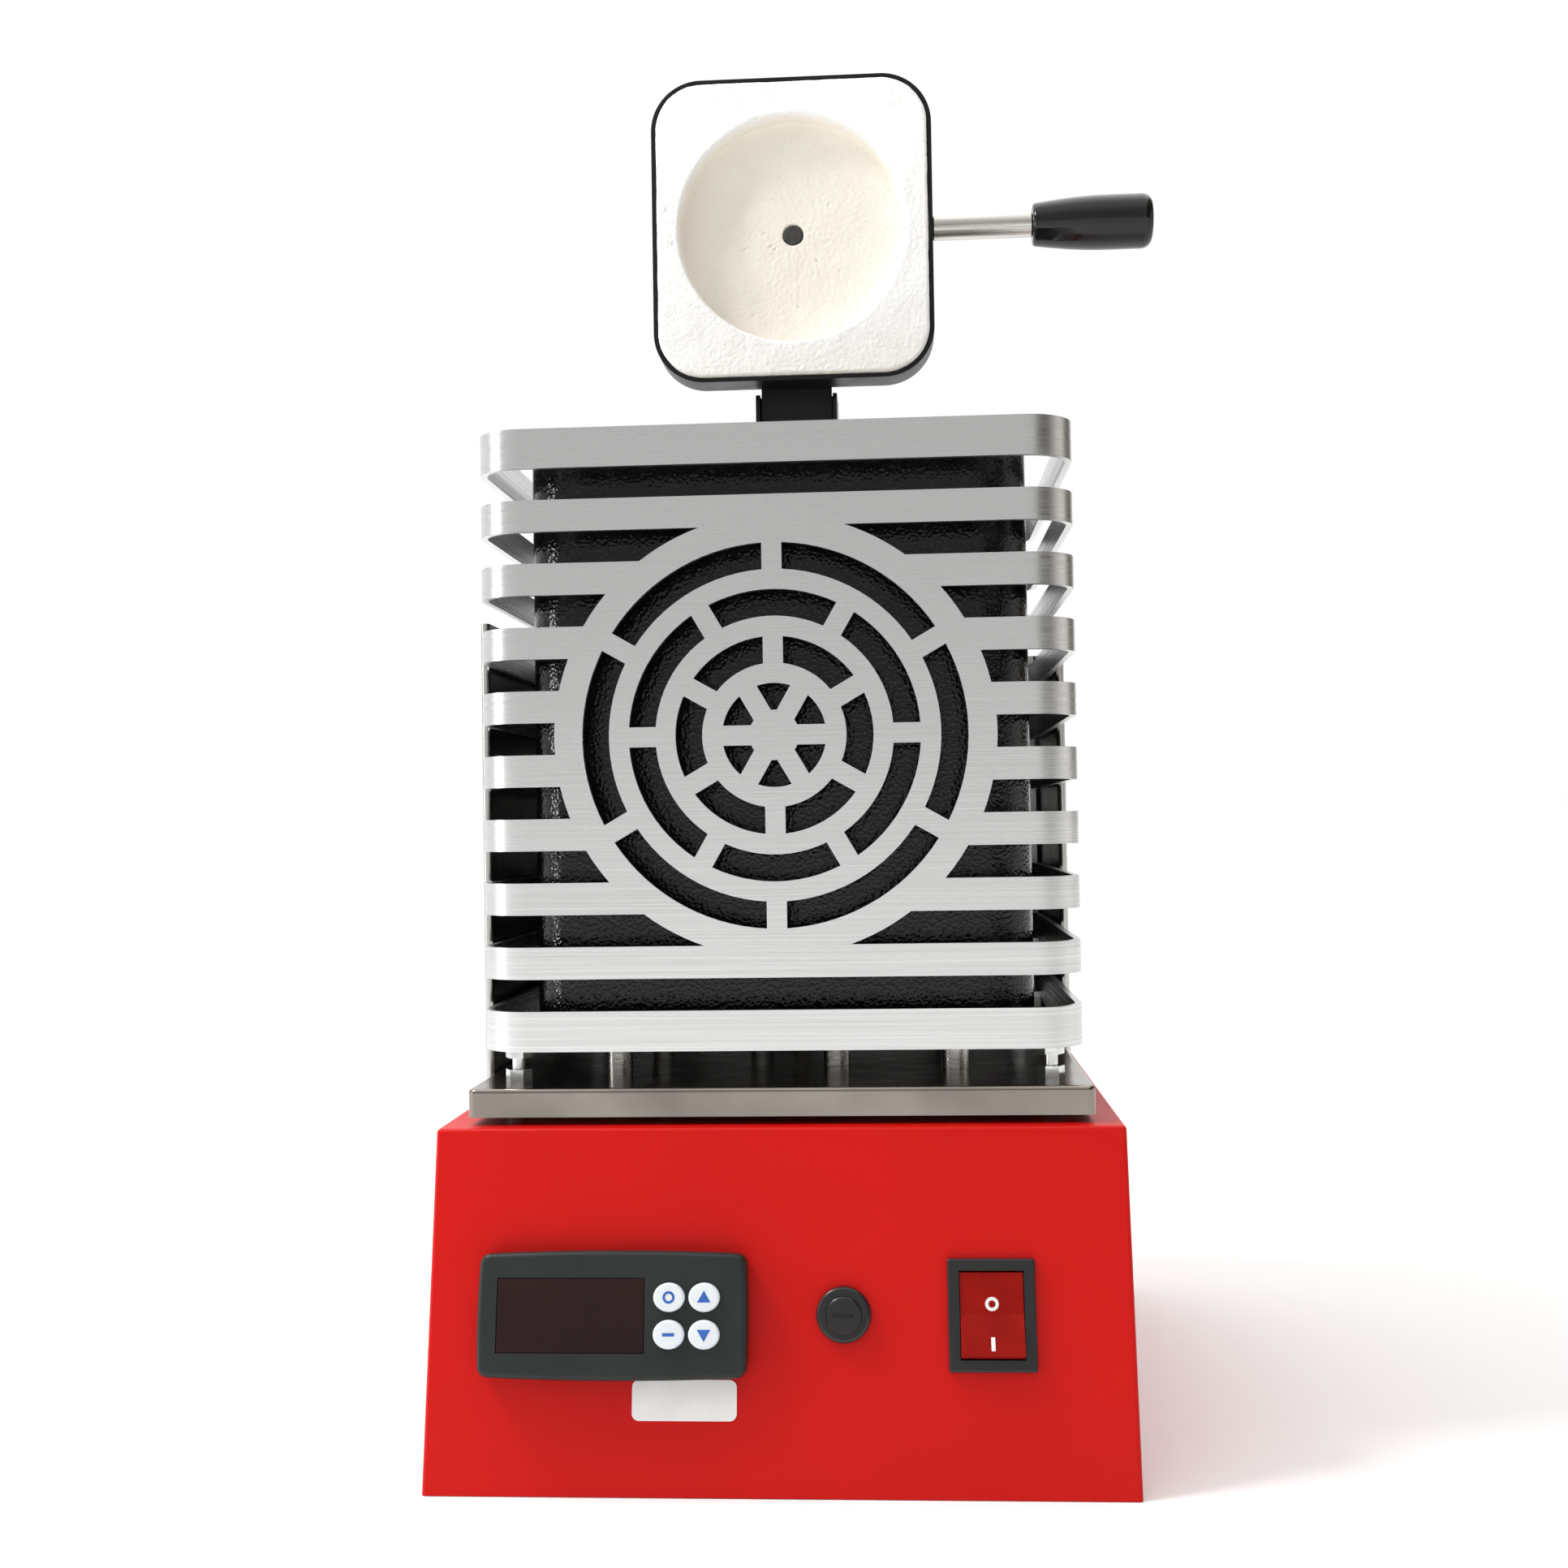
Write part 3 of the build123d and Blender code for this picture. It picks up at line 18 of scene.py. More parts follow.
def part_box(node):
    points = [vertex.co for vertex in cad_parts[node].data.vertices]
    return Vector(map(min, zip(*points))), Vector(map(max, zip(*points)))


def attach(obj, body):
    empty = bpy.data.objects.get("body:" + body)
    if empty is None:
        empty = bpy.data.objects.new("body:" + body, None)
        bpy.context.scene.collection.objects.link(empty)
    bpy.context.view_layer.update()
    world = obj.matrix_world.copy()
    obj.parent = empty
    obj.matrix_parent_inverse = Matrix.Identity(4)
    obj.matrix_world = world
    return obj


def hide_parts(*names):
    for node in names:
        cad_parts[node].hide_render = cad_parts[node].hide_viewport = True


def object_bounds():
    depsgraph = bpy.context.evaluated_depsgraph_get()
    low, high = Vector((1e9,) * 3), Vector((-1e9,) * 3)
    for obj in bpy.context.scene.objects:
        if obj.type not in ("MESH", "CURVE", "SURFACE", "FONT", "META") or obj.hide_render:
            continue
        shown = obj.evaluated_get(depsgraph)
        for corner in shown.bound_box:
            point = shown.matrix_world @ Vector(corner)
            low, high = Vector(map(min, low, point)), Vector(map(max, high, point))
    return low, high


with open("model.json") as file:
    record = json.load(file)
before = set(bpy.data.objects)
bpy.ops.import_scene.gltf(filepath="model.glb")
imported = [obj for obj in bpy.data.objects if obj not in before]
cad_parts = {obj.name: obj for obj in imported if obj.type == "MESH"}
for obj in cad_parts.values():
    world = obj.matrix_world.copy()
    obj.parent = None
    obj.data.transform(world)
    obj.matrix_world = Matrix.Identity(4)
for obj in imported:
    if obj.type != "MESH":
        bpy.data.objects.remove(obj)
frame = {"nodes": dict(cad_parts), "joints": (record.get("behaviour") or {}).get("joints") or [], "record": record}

cad_low, cad_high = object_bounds()
print("construction model:", tuple(cad_low), tuple(cad_high))
mm = 0.001

# %% [markdown]
# ## How colours reach the screen
# Blender's usual film look greys whites and pales strong reds. A product picture wants its paint
# as it is, so the plain transform is set instead.

# %% Plain colours
bpy.context.scene.view_settings.view_transform = "Standard"
print("view transform:", bpy.context.scene.view_settings.view_transform)

# %% [markdown]
# ## The stage
# A product stands on a pale floor with no visible edge. A curved backdrop could give that, but
# it would hide the furnace from behind. A large flat sheet is enough, because the backdrop past it
# is nearly the same white. It lies a hair below the base, so that the two never fight for a place.

# %% Floor
def plain_finish(name, colour, roughness):
    finish = bpy.data.materials.new(name)
    finish.use_nodes = True
    shader = finish.node_tree.nodes["Principled BSDF"]
    shader.inputs["Base Color"].default_value = (*colour, 1)
    shader.inputs["Roughness"].default_value = roughness
    return finish


floor_reach = 30.0
floor_gap = 0.2 * mm
floor_mesh = bpy.data.meshes.new("floor")
floor_corners = [(x, y, 0) for x, y in ((-1, -1), (1, -1), (1, 1), (-1, 1))]
floor_mesh.from_pydata([Vector(c) * floor_reach for c in floor_corners], [], [(0, 1, 2, 3)])
floor = bpy.data.objects.new("floor", floor_mesh)
bpy.context.scene.collection.objects.link(floor)
floor.location.z = cad_low.z - floor_gap
floor_mesh.materials.append(plain_finish("pale_floor", (0.93, 0.93, 0.93), 0.85))
print("floor:", 2 * floor_reach, "m square")

# %% [markdown]
# ## The light
# Bare metal shows what stands round it more than its own colour. So the surroundings matter:
# white behind the furnace, a softer grey behind the camera, brighter overhead, and a dark brown
# patch to the right, which puts the shade on the guard's right corners.
# Cards and lamps standing round the furnace could do this, but they would show in other views. A
# world whose colour changes with direction gives the same reflections with nothing in the way.
# The backdrop that is seen past the furnace stays plain white from every side.

# %% World
world = bpy.data.worlds.new("studio")
bpy.context.scene.world = world
world.use_nodes = True
sky = world.node_tree
background = sky.nodes["Background"]
direction = sky.nodes.new("ShaderNodeTexCoord")
parts_of = sky.nodes.new("ShaderNodeSeparateXYZ")
sky.links.new(direction.outputs["Generated"], parts_of.inputs["Vector"])


def ramp(tree, source, stops):
    """A colour that follows a value through the given stops."""
    node = tree.nodes.new("ShaderNodeValToRGB")
    elements = node.color_ramp.elements
    while len(elements) < len(stops):
        elements.new(0.5)
    for element, (place, colour) in zip(elements, stops):
        element.position = place
        element.color = (*colour, 1)
    tree.links.new(source, node.inputs["Fac"])
    return node.outputs["Color"]


def half_range(tree, source):
    """Brings -1..1 to 0..1."""
    node = tree.nodes.new("ShaderNodeMapRange")
    node.inputs["From Min"].default_value = -1.0
    tree.links.new(source, node.inputs["Value"])
    return node.outputs["Result"]


def multiplied(tree, first, second):
    """One colour multiplied by another."""
    node = tree.nodes.new("ShaderNodeMix")
    node.data_type = "RGBA"
    node.blend_type = "MULTIPLY"
    node.inputs["Factor"].default_value = 1.0
    tree.links.new(first, node.inputs["A"])
    tree.links.new(second, node.inputs["B"])
    return node.outputs["Result"]


print("tools for colours that follow a direction are ready")

# %% Light from each direction
white = (1.0, 1.0, 1.0)
front_back = ramp(sky, half_range(sky, parts_of.outputs["Y"]), [
    (0.0, (0.54, 0.54, 0.535)),
    (0.38, (0.62, 0.62, 0.61)),
    (0.56, white),
    (1.0, white),
])
left_right = ramp(sky, half_range(sky, parts_of.outputs["X"]), [
    (0.0, (0.72, 0.72, 0.73)),
    (0.08, (0.95, 0.95, 0.96)),
    (0.2, white),
    (0.72, white),
    (0.79, (0.16, 0.14, 0.11)),
    (0.93, (0.11, 0.095, 0.08)),
    (0.98, (0.8, 0.77, 0.72)),
    (1.0, (0.9, 0.87, 0.83)),
])
low_high = ramp(sky, half_range(sky, parts_of.outputs["Z"]), [
    (0.0, white),
    (0.75, white),
    (0.9, (2.0, 2.0, 2.0)),
    (1.0, (2.2, 2.2, 2.2)),
])
level_light = multiplied(sky, front_back, left_right)
sky.links.new(multiplied(sky, level_light, low_high), background.inputs["Color"])

backdrop = sky.nodes.new("ShaderNodeBackground")
backdrop.inputs["Color"].default_value = (1, 1, 1, 1)
ray = sky.nodes.new("ShaderNodeLightPath")
chosen = sky.nodes.new("ShaderNodeMixShader")
sky.links.new(ray.outputs["Is Camera Ray"], chosen.inputs["Fac"])
sky.links.new(background.outputs["Background"], chosen.inputs[1])
sky.links.new(backdrop.outputs["Background"], chosen.inputs[2])
sky.links.new(chosen.outputs["Shader"], sky.nodes["World Output"].inputs["Surface"])
print("world: light from behind, from overhead and from the left, and a plain white backdrop")

# %% [markdown]
# Two soft lamps shape the furnace: a tall narrow one from the left, whose reflection runs down
# the black chamber's corner and the guard's left corners, and one that rakes across the lid's
# fibre from the upper left.

# %% Lamps
def soft_lamp(name, place, target, width, height, watts):
    """A rectangular lamp, in metres and watts, turned to face its target."""
    data = bpy.data.lights.new(name, "AREA")
    data.shape = "RECTANGLE"
    data.size = width
    data.size_y = height
    data.energy = watts
    lamp = bpy.data.objects.new(name, data)
    bpy.context.scene.collection.objects.link(lamp)
    lamp.location = place
    lamp.rotation_euler = (target - Vector(place)).to_track_quat("-Z", "Y").to_euler()


middle = (cad_low + cad_high) / 2
lid_above_middle = Vector((0, 0, 0.16))
soft_lamp("key_lamp", (-1.15, -0.36, 0.42), middle, width=0.05, height=0.6, watts=3.0)
soft_lamp("lid_lamp", (-0.62, -0.17, 1.0), middle + lid_above_middle, width=0.25, height=0.25, watts=7.5)
print("key lamp aims at", tuple(round(v, 3) for v in middle))

# %% [markdown]
# ## The camera
# The view is nearly level and straight on: a little right of the middle, at the height of the
# chamber's lower half, turned a few degrees to the left and tipped very slightly.

# %% Camera
camera_data = bpy.data.cameras.new("camera")
camera_data.sensor_width = 36.0
camera_data.lens = 41.0
camera_data.clip_start = 0.01
camera_data.clip_end = 100.0
camera = bpy.data.objects.new("camera", camera_data)
bpy.context.scene.collection.objects.link(camera)
camera_place = Vector((0.0368, -0.6166, 0.1864))
turn_left = Matrix.Rotation(math.radians(3.69), 4, "Z")
level = Matrix.Rotation(math.radians(90 + 1.25), 4, "X")
tip = Matrix.Rotation(math.radians(-0.9), 4, "Z")
camera.matrix_world = Matrix.Translation(camera_place) @ turn_left @ level @ tip
bpy.context.scene.camera = camera
print("camera", round((camera_place - middle).length, 3), "m from the middle")

# %% [markdown]
# ## Finishes
# Every finish starts from three things: a colour that wanders a little, a gloss that wanders with
# it, and a fine relief. Each finish could have a node tree of its own, but one recipe covers them
# all, and each real finish is then a set of values for it.
# The patterns are worked out in metres from each part's own place, so no unwrapping is needed.

# %% The recipe
def pattern(tree, kind, scale, stretch):
    """A noise or cell pattern in metres: scale is how many features fit in a metre."""
    where = tree.nodes.new("ShaderNodeTexCoord")
    mapping = tree.nodes.new("ShaderNodeMapping")
    mapping.inputs["Scale"].default_value = stretch
    tree.links.new(where.outputs["Object"], mapping.inputs["Vector"])
    if kind == "cells":
        node = tree.nodes.new("ShaderNodeTexVoronoi")
        node.feature = "F1"
        result = node.outputs["Distance"]
    else:
        node = tree.nodes.new("ShaderNodeTexNoise")
        node.inputs["Detail"].default_value = 3.0
        result = node.outputs["Fac"]
    node.inputs["Scale"].default_value = scale
    tree.links.new(mapping.outputs["Vector"], node.inputs["Vector"])
    return result


def spread(tree, source, low, high, start=0.3, end=0.7):
    """Carries a pattern's middle part to the values low..high."""
    node = tree.nodes.new("ShaderNodeMapRange")
    node.inputs["From Min"].default_value = start
    node.inputs["From Max"].default_value = end
    node.inputs["To Min"].default_value = low
    node.inputs["To Max"].default_value = high
    tree.links.new(source, node.inputs["Value"])
    return node.outputs["Result"]


finishes = {}


def make_finish(name, dark, light, gloss, metal=0.0, mottle=30.0, stretch=(1, 1, 1), relief=(), **sockets):
    """A named finish. gloss is (smoothest, roughest), mottle is patches per metre, and relief is
    rows of (kind, features per metre, height in metres, strength)."""
    finish = plain_finish(name, light, gloss[0])
    tree = finish.node_tree
    shader = tree.nodes["Principled BSDF"]
    shader.inputs["Metallic"].default_value = metal
    for socket, value in sockets.items():
        shader.inputs[socket.replace("_", " ")].default_value = value
    wander = pattern(tree, "noise", mottle, stretch)
    tree.links.new(ramp(tree, wander, [(0.3, dark), (0.7, light)]), shader.inputs["Base Color"])
    tree.links.new(spread(tree, wander, gloss[1], gloss[0]), shader.inputs["Roughness"])
    normal = None
    for kind, scale, height, strength in relief:
        bump = tree.nodes.new("ShaderNodeBump")
        bump.inputs["Distance"].default_value = height
        bump.inputs["Strength"].default_value = strength
        tree.links.new(pattern(tree, kind, scale, stretch), bump.inputs["Height"])
        if normal:
            tree.links.new(normal, bump.inputs["Normal"])
        normal = bump.outputs["Normal"]
    if normal:
        tree.links.new(normal, shader.inputs["Normal"])
    finishes[name] = finish


# %% [markdown]
# ### Paint
# The base is powder coated: a deep red with the faint orange-peel swell that powder leaves.
# The chamber's casing has black hammer paint, which dries into glossy lumps about a millimetre wide.
# Two reliefs on top of each other give those: noise for the swell and cells for the edges of the
# lumps. The lid's shell and the hinge have plain black paint.

# %% Paints
make_finish("red_enamel", (0.55, 0.0025, 0.001), (0.61, 0.004, 0.0015), (0.36, 0.44), mottle=14,
            relief=[("noise", 900, 0.00008, 0.25)], Specular_IOR_Level=0.22)
make_finish("black_wrinkle", (0.002, 0.002, 0.002), (0.005, 0.005, 0.005), (0.03, 0.07), mottle=220,
            relief=[("noise", 850, 0.0003, 0.30), ("cells", 900, 0.0003, 0.36)], Specular_IOR_Level=0.34)
make_finish("black_steel", (0.006, 0.006, 0.007), (0.010, 0.010, 0.011), (0.30, 0.42), mottle=60,
            relief=[("noise", 1100, 0.0001, 0.3)], Specular_IOR_Level=0.25)
print("paints:", ", ".join(finishes))

# %% [markdown]
# ### Bare metal
# The guard is brushed along its length: streaks that run level all round it. A pattern that is
# squeezed two hundred times more upright than along gives them, on the front and on the sides alike.
# The tray and the shield are polished sheet, never quite flat, so their reflections sway. The tray
# is the browner of the two. One screw sits in the kiln's heat, so it has gone dark with scale.

# %% Metals
level_brush = (0.02, 0.02, 4.0)
along_x_brush = (0.03, 2.0, 2.0)
drawn_out = (0.1, 1, 1)
make_finish("brushed_aluminium", (0.64, 0.64, 0.635), (0.75, 0.75, 0.745), (0.24, 0.34), metal=1.0,
            mottle=420, stretch=level_brush, relief=[("noise", 700, 0.00005, 0.35)])
make_finish("stainless", (0.55, 0.54, 0.52), (0.58, 0.57, 0.55), (0.20, 0.28), metal=1.0,
            mottle=26, relief=[("noise", 22, 0.0006, 0.15)])
make_finish("tray_steel", (0.20, 0.175, 0.155), (0.30, 0.265, 0.235), (0.14, 0.24), metal=1.0,
            mottle=26, relief=[("noise", 30, 0.0012, 0.35)])
make_finish("satin_steel", (0.40, 0.385, 0.36), (0.66, 0.645, 0.61), (0.22, 0.36), metal=1.0,
            mottle=900, stretch=along_x_brush, relief=[("noise", 1200, 0.00005, 0.4)])
make_finish("bright_screw", (0.55, 0.55, 0.55), (0.75, 0.75, 0.74), (0.12, 0.26), metal=1.0, mottle=300)
make_finish("galvanised", (0.42, 0.43, 0.44), (0.62, 0.63, 0.64), (0.35, 0.50), metal=1.0,
            mottle=90, relief=[("cells", 160, 0.0001, 0.3)])
make_finish("heatsink", (0.50, 0.51, 0.52), (0.64, 0.65, 0.66), (0.35, 0.45), metal=1.0,
            mottle=300, stretch=drawn_out)
make_finish("heating_wire", (0.10, 0.09, 0.085), (0.22, 0.20, 0.18), (0.45, 0.65), metal=1.0, mottle=400)
make_finish("brass", (0.62, 0.45, 0.18), (0.78, 0.60, 0.28), (0.20, 0.32), metal=1.0, mottle=300)
make_finish("scaled_screw", (0.05, 0.048, 0.046), (0.09, 0.087, 0.083), (0.45, 0.6), metal=0.8, mottle=400)
print("paints and metals:", len(finishes))

# %% [markdown]
# ### Plastics
# Moulded plastic is even in colour. What tells one from another is the gloss: the grip is like
# glass, the thermostat's bezel has the fine grain of an etched mould, and the keys are soft white.
# The fuse's glass, the label, the green board and the wires' sleeves are made here too.

# %% Plastics
make_finish("black_plastic", (0.010, 0.010, 0.010), (0.016, 0.016, 0.016), (0.22, 0.32), mottle=80,
            relief=[("noise", 2500, 0.00004, 0.3)])
make_finish("bezel_grey", (0.016, 0.021, 0.019), (0.024, 0.029, 0.027), (0.32, 0.44), mottle=60,
            relief=[("noise", 3800, 0.00005, 0.5)], Specular_IOR_Level=0.25)
make_finish("display", (0.016, 0.004, 0.004), (0.024, 0.007, 0.007), (0.08, 0.12), mottle=30,
            Specular_IOR_Level=0.3)
make_finish("button_white", (0.78, 0.80, 0.83), (0.84, 0.85, 0.87), (0.30, 0.38), mottle=200,
            relief=[("noise", 3000, 0.00003, 0.3)], Subsurface_Weight=0.1)
make_finish("rocker_red", (0.25, 0.003, 0.001), (0.33, 0.006, 0.002), (0.26, 0.34), mottle=90,
            Specular_IOR_Level=0.14)
make_finish("grip_black", (0.004, 0.004, 0.004), (0.008, 0.008, 0.008), (0.07, 0.12), mottle=50,
            Specular_IOR_Level=0.42)
make_finish("white_label", (0.84, 0.84, 0.83), (0.90, 0.90, 0.89), (0.40, 0.50), mottle=120)
make_finish("board_green", (0.010, 0.09, 0.035), (0.02, 0.14, 0.055), (0.35, 0.5), mottle=200)
make_finish("wire_sleeve", (0.22, 0.045, 0.03), (0.30, 0.07, 0.045), (0.5, 0.65), mottle=200)
make_finish("fuse_glass", (0.80, 0.84, 0.84), (0.86, 0.89, 0.89), (0.03, 0.06), mottle=80,
            Transmission_Weight=0.85)
print("with plastics and glass:", len(finishes))

# %% [markdown]
# ### Ceramics
# Fibre board is felted from white ceramic wool: dull, with a fleece of tiny lumps and a few pits.
# The cast refractory is creamier, with grog in it that shows as specks.

# %% Ceramics
make_finish("fibre_board", (0.90, 0.89, 0.865), (0.955, 0.95, 0.935), (0.85, 0.95), mottle=26,
            relief=[("noise", 620, 0.0005, 0.6), ("noise", 1900, 0.0002, 0.5)])
make_finish("refractory", (0.62, 0.55, 0.44), (0.74, 0.68, 0.57), (0.85, 0.95), mottle=260,
            relief=[("noise", 900, 0.0004, 0.5), ("cells", 500, 0.0002, 0.4)])
print("all finishes:", len(finishes))

# %% [markdown]
# ## Dressing the construction parts
# The record says which finish each part takes. Their shapes stay exactly as built.
# Two parts look unlike the rest of their kind, so they are named here with a finish of their own:
# the screw in the lid's recess and the drip tray.

# %% Give each part its finish
finish_of = {part["node"]: part["material_slot"] for part in frame["record"]["subparts"]}
finish_of["lid_anchor_screw"] = "scaled_screw"
finish_of["drip_tray"] = "tray_steel"
for node, part in frame["nodes"].items():
    part.material_slots[0].material = finishes[finish_of[node]]
print("dressed", len(frame["nodes"]), "parts")

# %% [markdown]
# ## The lid's fibre block
# The block is pressed from wet fibre, so its edges are soft, its face is lumpy and the round recess
# has a rounded rim. A plain solid looks like plaster. So the block is built again from rings of
# points, which run from the recess's centre out over the face and round to the back, and then every
# point is moved a little by noise.

# %% Rings into a skin
def make_piece(name, points, faces, finish, body):
    """A piece with its finish, riding on its body."""
    mesh = bpy.data.meshes.new(name)
    mesh.from_pydata(points, [], faces)
    mesh.validate()
    mesh.materials.append(finishes[finish])
    piece = bpy.data.objects.new(name, mesh)
    bpy.context.scene.collection.objects.link(piece)
    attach(piece, body)
    return piece


def skin_of_rings(name, rings, finish, body):
    """A smooth closed skin over rings of equally many points, with a centre point at both ends."""
    count = len(rings[0])
    points = [p for ring in rings for p in ring]
    faces = []
    for row in range(len(rings) - 1):
        for i in range(count):
            j = (i + 1) % count
            a, b = row * count, (row + 1) * count
            faces.append((a + i, a + j, b + j, b + i))
    last_start = (len(rings) - 1) * count
    for start in (0, last_start):
        points.append(sum(points[start:start + count], Vector()) / count)
        centre = len(points) - 1
        for i in range(count):
            here, beside = start + i, start + (i + 1) % count
            faces.append((here, beside, centre) if start else (beside, here, centre))
    piece = make_piece(name, points, faces, finish, body)
    piece.data.shade_smooth()
    return piece


def rounded_reach(angle, half_width, half_height, radius):
    """How far a rounded rectangle's outline lies from its centre at an angle."""
    dx, dy = abs(math.cos(angle)), abs(math.sin(angle))
    reach = min(half_width / max(dx, 1e-9), half_height / max(dy, 1e-9))
    cx, cy = half_width - radius, half_height - radius
    if reach * dx > cx and reach * dy > cy:
        along = dx * cx + dy * cy
        reach = along + math.sqrt(max(0.0, along * along - cx * cx - cy * cy + radius * radius))
    return reach


print("rings can be joined into a skin")

# %% Sizes of the block
fibre_low, fibre_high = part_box("lid_insulation")
fibre_middle = (fibre_low + fibre_high) / 2
half_wide = (fibre_high.x - fibre_low.x) / 2
half_tall = (fibre_high.z - fibre_low.z) / 2
fibre_depth = fibre_high.y - fibre_low.y
corner = 17.2 * mm
recess_radius = 43.0 * mm
recess_depth = 9.5 * mm
rim = 1.1 * mm
head_hole = 4.1 * mm
head_sink = 2.5 * mm
print("block:", [round(2 * half / mm, 1) for half in (half_wide, half_tall)], "mm, recess",
      round(2 * recess_radius / mm, 1), "mm across")

# %% Outlines
around = 420


def fibre_ring(reach_at, depth):
    """One ring of the block: reach_at gives the distance from the centre at an angle."""
    ring = []
    for i in range(around):
        angle = 2 * math.pi * i / around
        reach = reach_at(angle)
        place = Vector((math.cos(angle) * reach, 0, math.sin(angle) * reach))
        ring.append(place + Vector((fibre_middle.x, fibre_low.y + depth, fibre_middle.z)))
    return ring


def circle(radius):
    """A round outline."""
    return lambda angle: radius


def outline(inset):
    """The block's own outline, drawn in by an inset."""
    return lambda angle: rounded_reach(angle, half_wide - inset, half_tall - inset, corner - inset)


def between(inner, inset, share):
    """An outline part of the way from a circle to the block's own."""
    edge = outline(inset)
    return lambda angle: inner + (edge(angle) - inner) * share


print("each ring has", around, "points")

# %% Rings from the screw outwards
floor_steps = 56
bend_steps = 4
wall_steps = 8
face_steps = 24
side_steps = 3
bends = [math.radians(90 * k / bend_steps) for k in range(bend_steps + 1)]
inside = recess_radius - rim
fibre_rings = [fibre_ring(circle(head_hole), recess_depth + head_sink)]
for k in range(floor_steps + 1):
    reach = head_hole + (inside - head_hole) * k / floor_steps
    fibre_rings.append(fibre_ring(circle(reach), recess_depth))
for bend in bends[1:]:
    depth = recess_depth - rim * (1 - math.cos(bend))
    fibre_rings.append(fibre_ring(circle(inside + rim * math.sin(bend)), depth))
for k in range(1, wall_steps):
    depth = recess_depth - rim - (recess_depth - 2 * rim) * k / wall_steps
    fibre_rings.append(fibre_ring(circle(recess_radius), depth))
for bend in bends:
    reach = recess_radius + rim * (1 - math.cos(bend))
    fibre_rings.append(fibre_ring(circle(reach), rim - rim * math.sin(bend)))
for k in range(1, face_steps + 1):
    fibre_rings.append(fibre_ring(between(recess_radius + rim, rim, k / face_steps), 0))
for bend in bends[1:]:
    inset = rim - rim * math.sin(bend)
    fibre_rings.append(fibre_ring(outline(inset), rim * (1 - math.cos(bend))))
for k in range(1, side_steps + 1):
    fibre_rings.append(fibre_ring(outline(0), rim + (fibre_depth - 2 * rim) * k / side_steps))
fibre_rings.append(fibre_ring(outline(rim), fibre_depth))
print(len(fibre_rings), "rings, from the screw's hole round to the back")

# %% [markdown]
# The recess faces the hot chamber. Its floor lies in shade, and there the white fibre looks cream.
# A second piece could line the recess, but the colour has no edge on the real one. So the block
# takes its own copy of the fibre finish, with a painted shade: a cream that comes in with the depth
# below the face.

# %% Painted shade in the recess
felt_with_painted_shade = finishes["fibre_board"].copy()
felt_with_painted_shade.name = "fibre_painted_shade"
finishes["fibre_painted_shade"] = felt_with_painted_shade
shade_start_depth = 2 * mm
shade_starts = fibre_low.y + shade_start_depth
shade_full = fibre_low.y + recess_depth
felt_tree = felt_with_painted_shade.node_tree
felt_shader = felt_tree.nodes["Principled BSDF"]
white_colour = felt_shader.inputs["Base Color"].links[0].from_socket
depth_place = felt_tree.nodes.new("ShaderNodeTexCoord")
depth_parts = felt_tree.nodes.new("ShaderNodeSeparateXYZ")
felt_tree.links.new(depth_place.outputs["Object"], depth_parts.inputs["Vector"])
recess_shade_mask = spread(felt_tree, depth_parts.outputs["Y"], 0.0, 1.0, shade_starts, shade_full)
# Painted shade: a cream tint that grows with the depth below the face stands in for the shade on the recess's
# floor.
cream = ramp(felt_tree, recess_shade_mask, [(0.0, white), (1.0, (0.965, 0.915, 0.84))])
felt_tree.links.new(multiplied(felt_tree, white_colour, cream), felt_shader.inputs["Base Color"])
print("cream deepens over", round((shade_full - shade_starts) / mm, 1), "mm, towards the recess's floor")

# %% [markdown]
# The felt's lumps could be left to the finish's relief, but that only changes the shading, and the
# block's edge and the recess's rim would stay as sharp as if they were machined. So the points
# themselves are moved: by fine lumps, by wider swells, and inward where there is a small pit.
# Vector noise starts from the clock unless it is given a number, and each run would then make
# another block, so it gets one.

# %% Felted surface
lump_seed = 7
lumps_per_metre = 650
lump_height = 0.10 * mm
swells_per_metre = 140
swell_height = 0.16 * mm
noise.seed_set(lump_seed)


def felt(point):
    """Moves a point by lumps of about 1.5 mm and swells of about 7 mm."""
    lump = noise.noise_vector(point * lumps_per_metre) * lump_height
    swell = noise.noise_vector(point * swells_per_metre) * swell_height
    return point + lump + swell


print("felt: lumps every", round(1 / lumps_per_metre / mm, 1), "mm")

# %% Pits
pit_count = 26
pit_depth = 0.5 * mm
pit_radius = 0.7 * mm
pit_spread_x = 90 * mm
pit_spread_z = 100 * mm
other_draw = Vector((7, 7, 7))
pit_places = []
for k in range(pit_count):
    draw = Vector((k * 3.7 + 0.3, k * 1.9, 0.5))
    aside = noise.noise(draw) * pit_spread_x
    aloft = noise.noise(draw + other_draw) * pit_spread_z
    pit_places.append(fibre_middle + Vector((aside, 0, aloft)))


def pitted(point):
    """Sinks a point that lies in one of the small pits."""
    for pit in pit_places:
        off = math.hypot(point.x - pit.x, point.z - pit.z)
        if off < pit_radius:
            point = point + Vector((0, pit_depth * (1 - (off / pit_radius) ** 2), 0))
    return point


fibre_rings = [[pitted(felt(p)) for p in ring] for ring in fibre_rings]
lid_fibre = skin_of_rings("lid_fibre", fibre_rings, "fibre_painted_shade", "lid")
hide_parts("lid_insulation")
print("fibre block:", len(lid_fibre.data.vertices), "points,", len(pit_places), "pits")

# %% [markdown]
# ## The grip
# The handle's grip is moulded in hard black resin: slimmer at the rod, swelling outward, with a
# well-rounded end. A cone with bevelled ends comes near, but its straight side catches the light in
# one hard line. So it is made of rings along the rod's line, whose radius follows a soft curve. The
# rings lie closest together at the two ends, where the curve is tightest.

